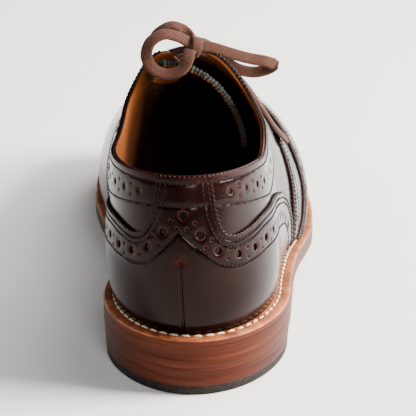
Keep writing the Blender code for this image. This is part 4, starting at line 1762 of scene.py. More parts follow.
@dataclass
class HeelLeather(Leatherwork):
    """The counter with its tab and dart, and the punched collar bands, all round the heel."""

    counter_base: float = 0.05 * MM
    counter_top: float = 1.45 * MM
    band_base: float = 0.02 * MM
    band_top: float = 0.65 * MM
    band_start: float = 8.6 * MM
    band_bevel: float = 0.25 * MM
    band_seam_depth: float = 0.14 * MM
    band_rim: Press = (0.14 * MM, 0.45 * MM, 0.5, 0.5 * MM)
    band_red: tuple[float, float] = (0.55, 0.8 * MM)
    big_rim: Press = (0.20 * MM, 0.55 * MM, 0.6, 0.65 * MM)
    pin_rim: Press = (0.10 * MM, 0.35 * MM, 0.5, 0.45 * MM)
    counter_step: float = 1.15 * MM
    band_step: float = 1.2 * MM
    seam_step: float = 1.0 * MM
    band_holes: int = 9
    first_hole: float = 9.6 * MM
    band_pin_rise: float = 2.0 * MM
    stitch_insets: tuple[float, float] = (1.7 * MM, 3.7 * MM)
    band_big: float = 1.15 * MM
    pin_over: float = 1.4 * MM
    pin_under: float = 2.2 * MM
    tab_half: float = 10.2 * MM
    tab_sewn_half: float = 8.3 * MM
    tab_depth: float = 10.4 * MM
    dart_round: float = -2.6 * MM
    dart_top: float = 50.6 * MM
    dart_sides: tuple[float, ...] = (-1.8, -1.1, -0.7, -0.35, 0, 0.35, 0.7, 1.1, 1.8)
    peak_width: float = 30 * MM
    band_depths: tuple[Spot, ...] = (
        (0.0, 10.6), (16.0, 11.8), (33.0, 13.6), (48.0, 14.8), (72.0, 15.6),
        (86.0, 14.2), (96.0, 9.4), (103.0, 5.6), (112.0, 4.4), (150.0, 4.2),
    )

    def __post_init__(self) -> None:
        """Take the heel's stretch of the last."""
        self.patch = HeelPatch(self.last)

    def table_line(self, spots: Sequence[Spot], side: Side, count: int = 240) -> Array:
        """A line on the pattern through a table's places, on one side.

        Args:
            spots: The table.
            side: Which side.
            count: How many points.

        Returns:
            The line.
        """
        at = run_lengths(np.array(spots, float))
        fine = np.linspace(0, at[-1], count)
        line = np.stack([smooth(at, column, fine) for column in zip(*spots)], axis=1) * MM
        line[:, 0] *= side.value
        return line

    def topline(self, first: float, last: float) -> Array:
        """The collar's edge on the pattern between two distances round.

        Args:
            first: Where it starts.
            last: Where it stops.

        Returns:
            The line.
        """
        distance = np.linspace(first, last, 300)
        turn = self.last.turn_at(distance)
        return np.stack([distance, self.last.surface(turn, self.last.upper_edge(turn))[:, 2]], axis=1)

    def counter_punches(self) -> list[Punch]:
        """Big holes along the counter's band with pairs of pinholes between.

        Returns:
            The holes.
        """
        punches = []
        for line, side in ((COUNTER_HOLES_LATERAL, Side.LATERAL), (COUNTER_HOLES_MEDIAL, Side.MEDIAL)):
            spots = np.array(line, float) * MM
            punches += [Punch(tuple(spot), self.big) for spot in spots[len(punches) > 0:].tolist()]
            middles = (spots[:-1] + spots[1:]) / 2
            points, normals = self.patch.lay(spots)
            upward = unit(np.cross(normals[:-1], points[1:] - points[:-1])) * side.value
            for rise in (self.pin_over, -self.pin_under):
                pins = middles + self.patch.walk(middles, upward * rise)
                punches += [Punch(tuple(pin), self.small) for pin in pins.tolist()]
        return punches

    def counter(self) -> Piece:
        """The counter, its pinked edge, brogue holes, stitch rows and back dart.

        Returns:
            The piece.
        """
        foot = float(self.last.welt_top(0.0) + 0.4 * MM)
        lateral = self.table_line(COUNTER_EDGE, Side.LATERAL)
        medial = self.table_line(COUNTER_EDGE_MEDIAL, Side.MEDIAL)
        bottom_line = np.linspace(medial[-1], lateral[-1], 200)
        bottom_line[:, 1] = np.minimum(bottom_line[:, 1], foot)
        tab_line = self.topline(self.tab_half, -self.tab_half)
        right, tab, left = (self.cut(line, Cut.PINKED) for line in (lateral[::-1], tab_line, medial))
        lines = [run.inset(inset) for run in (right, left) for inset in self.stitch_insets]
        for side in Side:
            seam = self.table_line(BROGUE_SEAM, side)
            seam[:, 0] += self.dart_round * np.exp(-np.abs(seam[:, 0]) / self.peak_width)
            lines.append(seam)
        across = self.cut(self.topline(self.tab_sewn_half, -self.tab_sewn_half)).inset(self.tab_depth)
        lines += [across, tab.inset(2.2 * MM)[2:-2]]
        marks, extra = self.sewn(lines, self.counter_top, self.seam_depth, self.seam_step)
        punches = self.counter_punches()
        marks.append(self.rims(punches, self.big, *self.big_rim))
        marks.append(self.rims(punches, self.small, *self.pin_rim))
        dart = np.stack([np.full(160, self.dart_round), np.linspace(foot, self.dart_top, 160)], axis=1)
        groove = self.patch.lay(dart)[0]
        marks.append(Mark(groove, depth=0.60 * MM, width=0.42 * MM, stain=0.16, stain_width=0.9 * MM))
        marks.append(Mark(groove, depth=-0.2 * MM, width=0.55 * MM, radius=1.1 * MM))
        marks.append(Mark(groove[-1:], depth=0.40 * MM, width=1.5 * MM, stain=0.62, stain_width=3.4 * MM))
        marks.append(self.reddened([right, left, tab], *self.edge_red))
        extra = np.concatenate([*(dart + (shift * MM, 0.0) for shift in self.dart_sides), extra])
        runs = [self.cut(bottom_line), right, tab, left]
        panel = Panel(self.patch, runs, self.counter_base, self.counter_top, self.counter_step, punches,
                      marks, extra)
        return panel.draft().piece("counter_leather", [self.leather])

    def band(self, side: Side) -> Piece:
        """One side's collar band, from under the tab forward to the facing.

        Args:
            side: Which side.

        Returns:
            The piece.
        """
        sign = side.value
        front_turn = float(self.last.turn_along(self.last.facing_top - 0.6 * MM, 1.0))
        front = float(np.interp(sign * front_turn, self.last.round_turns, self.last.round_lengths))
        edge = self.cut(self.topline(sign * self.band_start, front)[::-sign], Cut.PINKED)
        run = run_lengths(self.patch.lay(edge.flat)[0])
        if side is Side.LATERAL:
            run = run[-1] - run
        depth = smooth(*zip(*self.band_depths), (run + self.band_start) / MM) * MM
        low = edge.inset(depth)[::-1]
        lower = self.cut(low)
        runs = [edge, self.cut(np.linspace(edge.flat[-1], low[0], 40)), lower,
                self.cut(np.linspace(low[-1], edge.flat[0], 40))]
        rows = [edge.inset(2.1 * MM)[2:-2], lower.inset(1.0 * MM)[2:-2]]
        marks, extra = self.sewn(rows, self.band_top, self.band_seam_depth, self.seam_step)
        punches = []
        row_of_holes = self.holes(self.first_hole, self.band_holes, self.band_big, self.band_pin_rise)
        for at, rise, radius in row_of_holes:
            row = int(np.argmin(np.abs(run - at)))
            middle = (depth[row] + 1.0 * MM) / 2
            punches.append(Punch(tuple(edge.flat[row] - edge.out[row] * (middle + rise)), radius))
        for radius in (self.band_big, self.small):
            marks.append(self.rims(punches, radius, *self.band_rim))
        marks.append(self.reddened([edge], *self.band_red))
        panel = Panel(self.patch, runs, self.band_base, self.band_top, self.band_step, punches, marks, extra,
                      self.band_bevel)
        return panel.draft().piece(f"collar_band_{side.name.lower()}", [self.leather])


@dataclass
class Forepart(Leatherwork):
    """The vamp and the wing cap, each with a pinked, punched and double-stitched rear edge."""

    stitch_insets: tuple[float, float, float] = (1.7 * MM, 3.7 * MM, 13.2 * MM)
    hole_inset: float = 8.4 * MM
    hole_margin: float = 7 * MM
    pin_rise: float = 2.3 * MM
    lap: float = 8 * MM
    cover_step: float = 1.7 * MM
    seam_step: float = 1.2 * MM
    big_rim: Press = (0.22 * MM, 0.5 * MM, 0.55, 0.6 * MM)
    pin_rim: Press = (0.12 * MM, 0.5 * MM, 0.55, 0.6 * MM)

    def __post_init__(self) -> None:
        """Take the forepart's stretch of the last."""
        self.patch = ForepartPatch(self.last)

    def rear_line(self, rows: Sequence[RearEdge], shift: float = 0.0) -> Array:
        """A rear edge on the pattern, from the inner feather line over to the outer one.

        Args:
            rows: The edge's table.
            shift: How far forward of it.

        Returns:
            The line.
        """
        share = np.linspace(0, 1, 260)
        along = smooth(*zip(*rows), share) * MM + shift
        inner = self.patch.spot(along, share, Side.MEDIAL)
        outer = self.patch.spot(along, share, Side.LATERAL)
        return np.concatenate([inner, outer[-2::-1]])

    def kept(self, edge: Run, inset: float) -> Array:
        """Which places of a rear edge have an inset place on their own side, clear of the edge.

        Args:
            edge: The rear edge.
            inset: How far inside it.

        Returns:
            The numbers of those places.
        """
        line = edge.inset(inset)
        own = line[:, 1] * edge.flat[:, 1] >= 0
        far = nearest(self.patch.lay(line)[0], self.patch.lay(edge.flat)[0]) > inset * 0.8
        return np.flatnonzero(own & far & (np.abs(line[:, 1]) < self.patch.girth * 0.985))

    def punches(self, edge: Run) -> list[Punch]:
        """Holes along inside a rear edge, evenly out from the ridge.

        Args:
            edge: The rear edge.

        Returns:
            The holes.
        """
        held = self.kept(edge, self.hole_inset)
        line, out = edge.inset(self.hole_inset)[held], edge.out[held]
        run = run_lengths(self.patch.lay(line)[0])
        middle = run[int(np.argmin(np.abs(line[:, 1])))]
        punches = []
        count = int(run[-1] / 2 / self.hole_pitch) + 1
        first = middle - count * self.hole_pitch
        for at, rise, radius in self.holes(first, 2 * count + 1, self.big, self.pin_rise):
            if self.hole_margin <= at <= run[-1] - self.hole_margin:
                row = int(np.argmin(np.abs(run - at)))
                punches.append(Punch(tuple(line[row] + out[row] * rise), radius))
        return punches

    def cover(self, name: str, rear: Array, front: Optional[Array], base: float, top: float) -> Piece:
        """One piece over the forepart.

        Args:
            name: The piece's name.
            rear: Its rear edge.
            front: Its front edge, or nothing where it closes round the toe.
            base: Height of its underside over the last.
            top: Height of its face over the last.

        Returns:
            The piece.
        """
        edge = self.cut(rear, Cut.PINKED)
        closing = Cut.PLAIN
        if front is None:
            girth = self.patch.girth
            front = np.stack([np.full(200, self.patch.a_turn), np.linspace(-girth, girth, 200)], axis=1)
            closing = Cut.JOINED
        runs = [edge, self.cut(np.linspace(rear[-1], front[0], 100), Cut.JOINED), self.cut(front, closing),
                self.cut(np.linspace(front[-1], rear[0], 100), Cut.JOINED)]
        lines = [edge.inset(inset)[self.kept(edge, inset)] for inset in self.stitch_insets]
        marks, extra = self.sewn(lines, top, self.seam_depth, self.seam_step)
        punches = self.punches(edge)
        marks.append(self.rims(punches, self.big, *self.big_rim))
        marks.append(self.rims(punches, self.small, *self.pin_rim))
        marks.append(self.reddened([edge], *self.edge_red))
        panel = Panel(self.patch, runs, base, top, self.cover_step, punches, marks, extra)
        return panel.draft().piece(name, [self.leather])

    def vamp(self) -> Piece:
        """The vamp, from its rear edge to a lap under the wing cap."""
        front = self.rear_line(WING_EDGE, self.lap)[::-1]
        return self.cover("vamp_leather", self.rear_line(VAMP_EDGE), front, 0.05 * MM, 1.4 * MM)

    def wing(self) -> Piece:
        """The wing cap, closed round the toe."""
        return self.cover("wing_cap_leather", self.rear_line(WING_EDGE), None, 1.3 * MM, 2.7 * MM)


@dataclass
class Bottom:
    """The welt with its stitches, outsole, stacked heel and insole."""

    last: Last
    count: int = 480
    tuck: float = 5.0 * MM
    insole_thick: float = 2.5 * MM
    insole_inset: float = 2.9 * MM
    lift_thick: float = 3.4 * MM
    lift_count: int = 3
    top_piece: float = 3.2 * MM
    lift_round: float = 0.04 * MM
    top_piece_round: float = 0.6 * MM
    heel_taper: float = 1.0 * MM
    breast: float = 70 * MM
    breast_hollow: float = 5 * MM
    stitch_inset: float = 4.0 * MM
    welt_tops: tuple[tuple[float, float], ...] = (
        (-4.55, -0.1), (-4.0, -0.35), (-3.45, -0.1), (-3.0, 0.02), (-2.0, 0.05), (-1.2, 0.0), (-0.6, -0.12),
        (-0.2, -0.4), (0.0, -0.8),
    )
    turns: Array = field(init=False)

    def __post_init__(self) -> None:
        """Set the places all round."""
        self.turns = np.arange(self.count) * 2.0 / self.count

    def over(self, plan: Array, height: float, follows: float = 1.0) -> Array:
        """Points over plan places, at a height over the outsole's underside, or over the floor."""
        rise = height + follows * self.last.sole_height(plan[:, 1])
        return np.concatenate([plan, rise[:, None]], axis=1) - self.last.centre

    def ring(self, turns: Array, profile: Sequence[tuple[float, float]], from_feather: bool = False) -> Array:
        """Points of a profile carried round the welt's edge or the feather line.

        Args:
            turns: Places round.
            profile: Reach beyond the line and height over the outsole's underside.
            from_feather: Measure the reach from the feather line.

        Returns:
            Points, places round by profile.
        """
        lines = [(self.last.plan_line(turns, reach, from_feather), height) for reach, height in profile]
        return np.stack([self.over(*line) for line in lines], axis=1)

    def welt(self, leather: Material, edge: Material) -> Piece:
        """The welt: a ring with a stitch channel in its top and a rounded outer edge.

        Args:
            leather: Finish of its top.
            edge: Finish of its outer edge.

        Returns:
            The piece.
        """
        low = self.last.outsole + self.last.gap
        high = low + self.last.welt
        joint = low - 0.9 * self.last.gap
        inner = self.ring(self.turns, [(-self.tuck, low), (-self.tuck, high), (0.2 * MM, high)], True)
        outer = self.ring(self.turns, [(reach * MM, high + rise * MM) for reach, rise in self.welt_tops])
        edge_line = [(0.05 * MM, high - 1.4 * MM), (0.0, low + 0.3 * MM), (-0.05 * MM, joint)]
        sides = self.ring(self.turns, edge_line)
        inner_low = self.ring(self.turns, [(-self.tuck, joint), (-self.tuck, low)], True)
        draft = Draft()
        draft.sheet(closed(draft.add(np.concatenate([inner, outer], axis=1))), flip=True)
        edge_rows = draft.add(np.concatenate([outer[:, -1:], sides, inner_low], axis=1))
        draft.sheet(closed(edge_rows), finish=1, flip=True)
        return draft.piece("welt_strip", [leather, edge])

    def plate(self, name: str, loop: Callable[[float], Array], profile: Sequence[tuple[float, float]],
              materials: Sequence[Material], follows: float = 1.0, columns: int = 24) -> Piece:
        """A plate with a shaped edge: a profile round a loop, filled from side to side.

        Args:
            name: The piece's name.
            loop: Gives the plan loop for a reach; its points pair up across the foot.
            profile: Reach and height, from top to bottom.
            materials: Finishes of the edge, and of the faces if there is a second.
            follows: 1 where the heights follow the sole, 0 where they stand on the floor.
            columns: How many steps fill the faces.

        Returns:
            The piece.
        """
        grid = np.stack([self.over(loop(reach), height, follows) for reach, height in profile], axis=1)
        draft = Draft()
        draft.sheet(closed(draft.add(grid)))
        half = len(grid) // 2
        share = np.linspace(0, 1, columns)[None, :, None]
        for row, flip in ((0, False), (len(profile) - 1, True)):
            first, second = grid[:half + 1, row], np.roll(grid[::-1, row], 1, axis=0)[:half + 1]
            fill = first[:, None] * (1 - share) + second[:, None] * share
            sole = self.last.sole_height(fill[..., 1] + self.last.centre[1])
            fill[..., 2] = profile[row][1] + follows * sole
            draft.sheet(draft.add(fill), finish=len(materials) - 1, flip=flip)
        return draft.piece(name, materials)

    def heel_loop(self, reach: float) -> Array:
        """The loop round the heel for a reach beyond the welt's edge, closed by the hollow breast.

        Args:
            reach: The reach.

        Returns:
            The loop.
        """
        sides = np.linspace(0, float(self.last.turn_along(self.breast, 1.0)), 130)
        lateral, medial = (self.last.plan_line(turns, reach) for turns in (sides, 2.0 - sides))
        share = np.linspace(0, 1, 62)[1:-1, None]
        front = lateral[-1] * (1 - share) + medial[-1] * share
        front[:, 1] -= self.breast_hollow * (1 - (2 * share[:, 0] - 1) ** 2)
        return np.concatenate([lateral, front, medial[:0:-1]])

    def sole_loop(self, reach: float) -> Array:
        """The loop round the outsole, whose edge is rounded only forward of the heel."""
        share = ease((self.last.along(self.turns) - self.breast + 6 * MM) / (16 * MM))
        return self.last.plan_line(self.turns, reach * share)

    def insole_loop(self, reach: float) -> Array:
        """The loop round the insole for a reach beyond its edge."""
        return self.last.plan_line(self.turns, reach - self.insole_inset, True)

    def outsole(self, edge: Material) -> Piece:
        """The outsole, its edge rounded a little above and below.

        Args:
            edge: Its finish.

        Returns:
            The piece.
        """
        thick = self.last.outsole
        profile = [(-0.10 * MM, thick), (-0.02 * MM, thick - 0.2 * MM), (0.05 * MM, thick - 0.9 * MM),
                   (0.1 * MM, thick / 2), (0.0, 0.9 * MM), (-0.3 * MM, 0.25 * MM), (-1.0 * MM, 0.0)]
        return self.plate("outsole_leather", self.sole_loop, profile, [edge, edge])

    def insole(self, leather: Material) -> Piece:
        """The insole with its sock, rounded at the edge.

        Args:
            leather: Its finish.

        Returns:
            The piece.
        """
        low = self.last.outsole + 2 * self.last.gap + self.last.welt
        high = low + self.insole_thick
        profile = [(-1.4 * MM, high), (-0.5 * MM, high - 0.3 * MM), (0.0, high - 0.9 * MM), (0.0, low)]
        return self.plate("insole_sock", self.insole_loop, profile, [leather])

    def heel(self, stack: Material, rubber: Material) -> list[Piece]:
        """The rubber top piece and the leather lifts above it.

        Args:
            stack: Finish of the lifts.
            rubber: Finish of the top piece.

        Returns:
            The pieces, from the floor up.
        """
        kinds = [("heel_top_rubber", self.top_piece, self.top_piece_round, rubber)]
        kinds += [(f"stacked_lift_{number}", self.lift_thick, self.lift_round, stack)
                  for number in range(self.lift_count, 0, -1)]
        pieces = []
        base = 0.0
        for name, thick, foot, finish in kinds:
            high = base + thick + self.last.gap * 0.9
            soft = self.lift_round
            middle = (base + high) / 2
            rows = [(-soft, high), (0.0, high - soft), (0.0, middle), (0.0, base + foot), (-foot, base)]
            profile = [(reach - self.heel_taper * (1 - rise / self.last.seat), rise) for reach, rise in rows]
            pieces.append(self.plate(name, self.heel_loop, profile, [finish], 0.0, 16))
            base += thick + self.last.gap
        return pieces

    def stitches(self, thread: Stitching) -> Piece:
        """The welt's cream lockstitch, all round in its channel.

        Args:
            thread: The sewing.

        Returns:
            The piece.
        """
        high = self.last.outsole + self.last.gap + self.last.welt
        line = self.ring(np.linspace(0, 2, 1600), [(-self.stitch_inset, high + 0.05 * MM)])[:, 0]
        thread.sew(line, np.tile((0.0, 0.0, 1.0), (len(line), 1)))
        return thread.piece("welt_stitches")


@dataclass
class Tongue:
    """The tongue: an arch at its pinked free end that settles under the facings."""

    last: Last
    end: float = 86 * MM
    front: float = 160 * MM
    settle: float = 118 * MM
    sink: float = 3.4 * MM
    lateral: float = 25 * MM
    medial: float = 16 * MM
    arch_middle: float = -13 * MM
    arch_lateral: float = 32 * MM
    arch_medial: float = 10 * MM
    arch_foot: float = 61 * MM
    arch_rise: float = 40 * MM
    arch_spread: float = math.radians(82)
    arch_slope: float = 0.5
    arch_drift: float = 0.35
    thick: float = 2.7 * MM
    wall: float = 2.0 * MM
    teeth: int = 46
    tooth: float = 1.7 * MM
    swollen: float = 0.50
    lining_lip: float = 0.62
    medial_stop: float = -0.42

    def build(self, leather: Material, nap: Material, lining: Material) -> Piece:
        """Lay the tongue from its free end forward.

        Args:
            leather: Finish of its outer face.
            nap: Finish of its cut edge.
            lining: Finish of its underside.

        Returns:
            The piece.
        """
        even = np.linspace(0, 1, self.teeth * 4 + 1)[None]
        uneven = 0.62 + 0.22 * np.sin(even * 71.0) + 0.16 * np.sin(even * 173.0 + 1.0)
        saw = np.resize((0.0, 0.5, 1.0, 0.5), even.shape[1])[None] * self.tooth * uneven
        share = np.linspace(0, 1, 70)[:, None]
        along = self.end - saw * (1 - share) ** 8 + (self.front - self.end) * share
        widen = ease((share - 0.40) / 0.35)
        inner = self.medial_stop + (-1 - self.medial_stop) * widen
        across = inner + (1 - inner) * even
        lean = across * self.arch_spread
        width = np.where(across > 0, self.arch_lateral, self.arch_medial)
        along = np.broadcast_to(along, across.shape)
        height = self.arch_foot + self.arch_rise * np.cos(lean) - self.arch_slope * (along - self.end)
        middle = self.arch_middle + self.arch_drift * (along - self.end)
        over = np.broadcast_arrays(middle + width * np.sin(lean), along, height)
        arch = np.stack(over, axis=-1) - self.last.centre
        turns = self.last.turn_along(along, across)
        reach = np.where(across > 0, self.lateral, self.medial)
        angles = self.last.angle_at_gap(turns, np.abs(across) * reach)
        under = self.last.lifted(turns, angles, -self.wall - self.sink)
        settle = ease((along - self.end) / (self.settle - self.end))[..., None]
        grid = arch * (1 - settle) + under * settle
        normal = unit(np.cross(np.gradient(grid, axis=1), np.gradient(grid, axis=0)))
        draft = Draft()
        bumps = (saw / self.tooth - 0.5) * np.exp(-share * 30) * self.swollen
        half = (self.thick / 2 * (1 + bumps))[..., None]
        over, below = draft.add(grid + normal * half), draft.add(grid - normal * half)
        draft.sheet(over, flip=True)
        draft.sheet(below, finish=2)
        lip = draft.add(grid[0] - normal[0] * half[0] * self.lining_lip)
        for first, second, finish in ((over[0], lip, 1), (lip, below[0], 2), (below[-1], over[-1], 2),
                                      (below[:, 0], over[:, 0], 0), (over[:, -1], below[:, -1], 1)):
            draft.sheet(np.stack([first, second], axis=0), finish=finish)
        return draft.piece("tongue_leather", [leather, nap, lining])


LOOP_LEFT = (
    (-1.8, 89.4, 107.4), (-4.8, 88.2, 109.6), (-8.8, 86.2, 112.0), (-13.8, 84.0, 113.2),
    (-19.0, 82.0, 110.2), (-20.3, 81.0, 105.3), (-17.8, 80.5, 100.4), (-12.2, 80.5, 98.2),
    (-6.4, 81.0, 100.0), (-4.0, 83.0, 103.8), (-3.6, 86.2, 106.0), (-2.0, 89.0, 106.4),
)
LOOP_RIGHT = (
    (-2.0, 90.2, 107.0), (1.0, 90.9, 107.0), (4.8, 91.8, 106.2), (12.5, 94.0, 103.3), (20.5, 96.8, 100.4),
    (27.4, 98.8, 98.6), (30.0, 100.6, 97.0), (28.2, 101.9, 95.2), (22.8, 101.2, 93.8), (16.6, 98.2, 95.4),
    (9.6, 94.2, 100.3), (2.6, 91.8, 104.8), (-1.8, 90.4, 106.0),
)
END_LATERAL = (
    (-1.2, 91.8, 106.6), (1.6, 95.4, 107.2), (5.2, 99.0, 104.8), (9.8, 101.5, 97.5), (18.5, 104.6, 87.5),
    (24.9, 111.0, 76.8), (30.9, 123.0, 64.6), (35.8, 136.0, 55.4),
)
END_MEDIAL = (
    (-1.6, 91.4, 106.4), (-2.4, 94.0, 107.6), (-5.0, 94.6, 111.4), (-10.5, 93.2, 114.7),
    (-17.0, 92.8, 111.4), (-19.8, 96.4, 102.8), (-19.4, 103.0, 91.4), (-20.1, 112.0, 83.4),
    (-21.7, 122.0, 76.7), (-23.4, 131.0, 70.9),
)


class Facing(Enum):
    """The ways that a ribbon's flat face can look."""

    BACK = (0.05, -0.85, 0.5)
    RING = (-0.1, -0.8, 0.75)
    LATERAL = (0.75, -0.1, 0.62)
    MEDIAL = (-0.55, -0.45, 0.7)
    UP = (0.0, 0.15, 1.0)


@dataclass
class Lacing:
    """The flat woven lace: bars through the eyelets, a knot, two loops and two ends."""

    last: Last
    cotton: Material
    width: float = 4.7 * MM
    thick: float = 1.9 * MM
    sides: int = 18
    bulge: float = 0.7
    bar_count: int = 5
    bar_first: float = 103 * MM
    bar_last: float = 143 * MM
    bar_reach: float = 12 * MM
    bar_lift: float = 1.25 * MM
    bar_beyond: float = 1.2 * MM
    dive_length: float = 3.6 * MM
    dive_depth: float = 1.4 * MM
    riser_along: float = 97.4 * MM
    riser_gaps: tuple[float, ...] = (12.6, 12.0, 10.5, 8.5)
    riser_lifts: tuple[float, ...] = (-1.6, 0.2, 1.6, 2.4)
    knot_middle: Way = (-1.7, 90.0, 106.8)
    knot_radii: tuple[float, float] = (3.0 * MM, 3.4 * MM)
    knot_axis: Way = (0.88, 0.30, -0.36)

    def ribbon(self, name: str, route: Array, face: Array) -> Piece:
        """Sweep the lace's flat oval section along a route, with its ends rounded off.

        Args:
            name: The piece's name.
            route: Its middle line.
            face: The way that its flat face looks, at each point or for all.

        Returns:
            The piece.
        """
        ways = unit(np.gradient(route, axis=0))
        rise = np.broadcast_to(face, route.shape)
        rise = unit(rise - ways * (rise * ways).sum(-1, keepdims=True))
        wide = np.cross(rise, ways)
        turn = np.arange(self.sides) / self.sides * 2 * math.pi
        side, up = (np.sign(part) * np.abs(part) ** self.bulge * size / 2
                    for part, size in ((np.cos(turn), self.width), (np.sin(turn), self.thick)))
        grid = route[:, None] + wide[:, None] * side[None, :, None] + rise[:, None] * up[None, :, None]
        first, final = (route[end] + (grid[end] - route[end]) * 0.8 + ways[end] * reach * MM
                        for end, reach in ((0, -0.35), (-1, 0.35)))
        grid = np.concatenate([first[None], grid, final[None]])
        draft = Draft()
        numbers = draft.add(grid)
        draft.sheet(np.concatenate([numbers, numbers[:, :1]], axis=1))
        draft.face(numbers[:1])
        draft.face(numbers[-1:, ::-1])
        piece = draft.piece(name, [self.cotton], weld=False)
        self.weave(piece, run_lengths(grid.mean(axis=1)), run_lengths(closed(grid[2])))
        return piece

    def weave(self, piece: Piece, run: Array, girth: Array) -> None:
        """Give a ribbon its UV map, in millimetres along and round.

        Args:
            piece: The ribbon.
            run: Distance along at each ring.
            girth: Distance round at each side.
        """
        layer = piece.data.uv_layers.new(name="weave")
        for face in piece.data.polygons:
            places = [corner % self.sides for corner in face.vertices]
            wraps = max(places) - min(places) > self.sides // 2
            for loop, corner, place in zip(face.loop_indices, face.vertices, places):
                place = self.sides if wraps and place == 0 else place
                layer.data[loop].uv = (run[corner // self.sides] / MM, girth[place] / MM)

    def eyelet_places(self) -> list[float]:
        """Distances along the last of the eyelets, from the top pair down."""
        return [self.riser_along, *np.linspace(self.bar_first, self.bar_last, self.bar_count).tolist()]

    def bars(self) -> list[Piece]:
        """The straight bars over the throat, down through the eyelets at both ends.

        Returns:
            The pieces, from the top down.
        """
        pieces = []
        for number in range(self.bar_count):
            along = self.bar_first + (self.bar_last - self.bar_first) * number / (self.bar_count - 1)
            across = np.linspace(-1, 1, 61)
            gap = np.abs(across) * (self.bar_reach + self.bar_beyond)
            turns = self.last.turn_along(np.full_like(across, along), across)
            angles = self.last.angle_at_gap(turns, gap)
            dive = np.clip(1 - (gap.max() - gap) / self.dive_length, 0, 1)
            lift = self.bar_lift - (self.bar_lift + self.dive_depth) * dive**2
            route = spaced(self.last.lifted(turns, angles, lift), 60)
            over = np.gradient(route, axis=0)
            face = np.stack([-over[:, 2], np.zeros(len(over)), over[:, 0]], axis=1)
            pieces.append(self.ribbon(f"lace_bar_woven_{number + 1}", route, face))
        return pieces

    def cord(self, node: str, ways: Sequence[Way], face: Facing) -> None:
        """One free stretch of the lace.

        Args:
            node: The CAD node it stands for.
            ways: Its route.
            face: The way that its flat face looks.
        """
        route = smooth_route(ways, 110) - self.last.centre
        piece = self.ribbon(f"{node}_woven", route, np.array(face.value))
        finish_piece(piece, Slot.LACE, [node])
        length = float(run_lengths(route)[-1])
        path = [tuple(float(number) for number in point) for point in spaced(route, 40)]
        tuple(path[0])

    def knot(self) -> Piece:
        """The knot: the lace wrapped once and a little more round the strands.

        Returns:
            The piece.
        """
        axis = unit(np.array(self.knot_axis))
        first = unit(np.cross(axis, (0.0, 1.0, 0.0)))
        second = np.cross(axis, first)
        turn = np.linspace(-0.4, 2 * math.pi + 0.2, 80)[:, None]
        slip = axis * (turn / (2 * math.pi) - 0.5) * 0.9 * MM
        spread = first * np.cos(turn) * self.knot_radii[1] + second * np.sin(turn) * self.knot_radii[0]
        route = np.array(self.knot_middle) * MM + spread + slip - self.last.centre
        return self.ribbon("bow_knot_woven", route, spread)

    def risers(self) -> list[Piece]:
        """The two strands from the top eyelets up to the knot.

        Returns:
            The pieces.
        """
        pieces = []
        for side in Side:
            turn = self.last.turn_along(np.array([self.riser_along]), side.value)
            gaps, lifts = np.array(self.riser_gaps) * MM, np.array(self.riser_lifts) * MM
            turns = np.repeat(turn, len(gaps))
            start = self.last.lifted(turns, self.last.angle_at_gap(turns, gaps), lifts) + self.last.centre
            below = (side.value * 2.6 - 2.4, 93.6, 105.6)
            ways = [*start / MM, below, (-1.7 + side.value * 0.6, 90.4, 106.4)]
            route = smooth_route(ways, 50) - self.last.centre
            pieces.append(self.ribbon(f"lace_riser_{side.name.lower()}", route, np.array(Facing.UP.value)))
        return pieces

    def bow(self) -> None:
        """The knot, the two loops and the two ends."""
        knot = self.knot()
        finish_piece(knot, Slot.LACE, ["bow_knot"])
        self.cord("bow_loop_left", LOOP_LEFT, Facing.RING)
        self.cord("bow_loop_right", LOOP_RIGHT, Facing.BACK)
        self.cord("lace_end_lateral", END_LATERAL, Facing.LATERAL)
        self.cord("lace_end_medial", END_MEDIAL, Facing.MEDIAL)
        for riser in self.risers():
            finish_piece(riser, Slot.LACE)


class Softbox(NamedTuple):
    """A square soft light: place, aim, width and height in metres, power in watts and colour."""

    name: str
    place: Way
    aim: Way
    size: tuple[float, float]
    watts: float
    colour: Colour = (1.0, 1.0, 1.0)


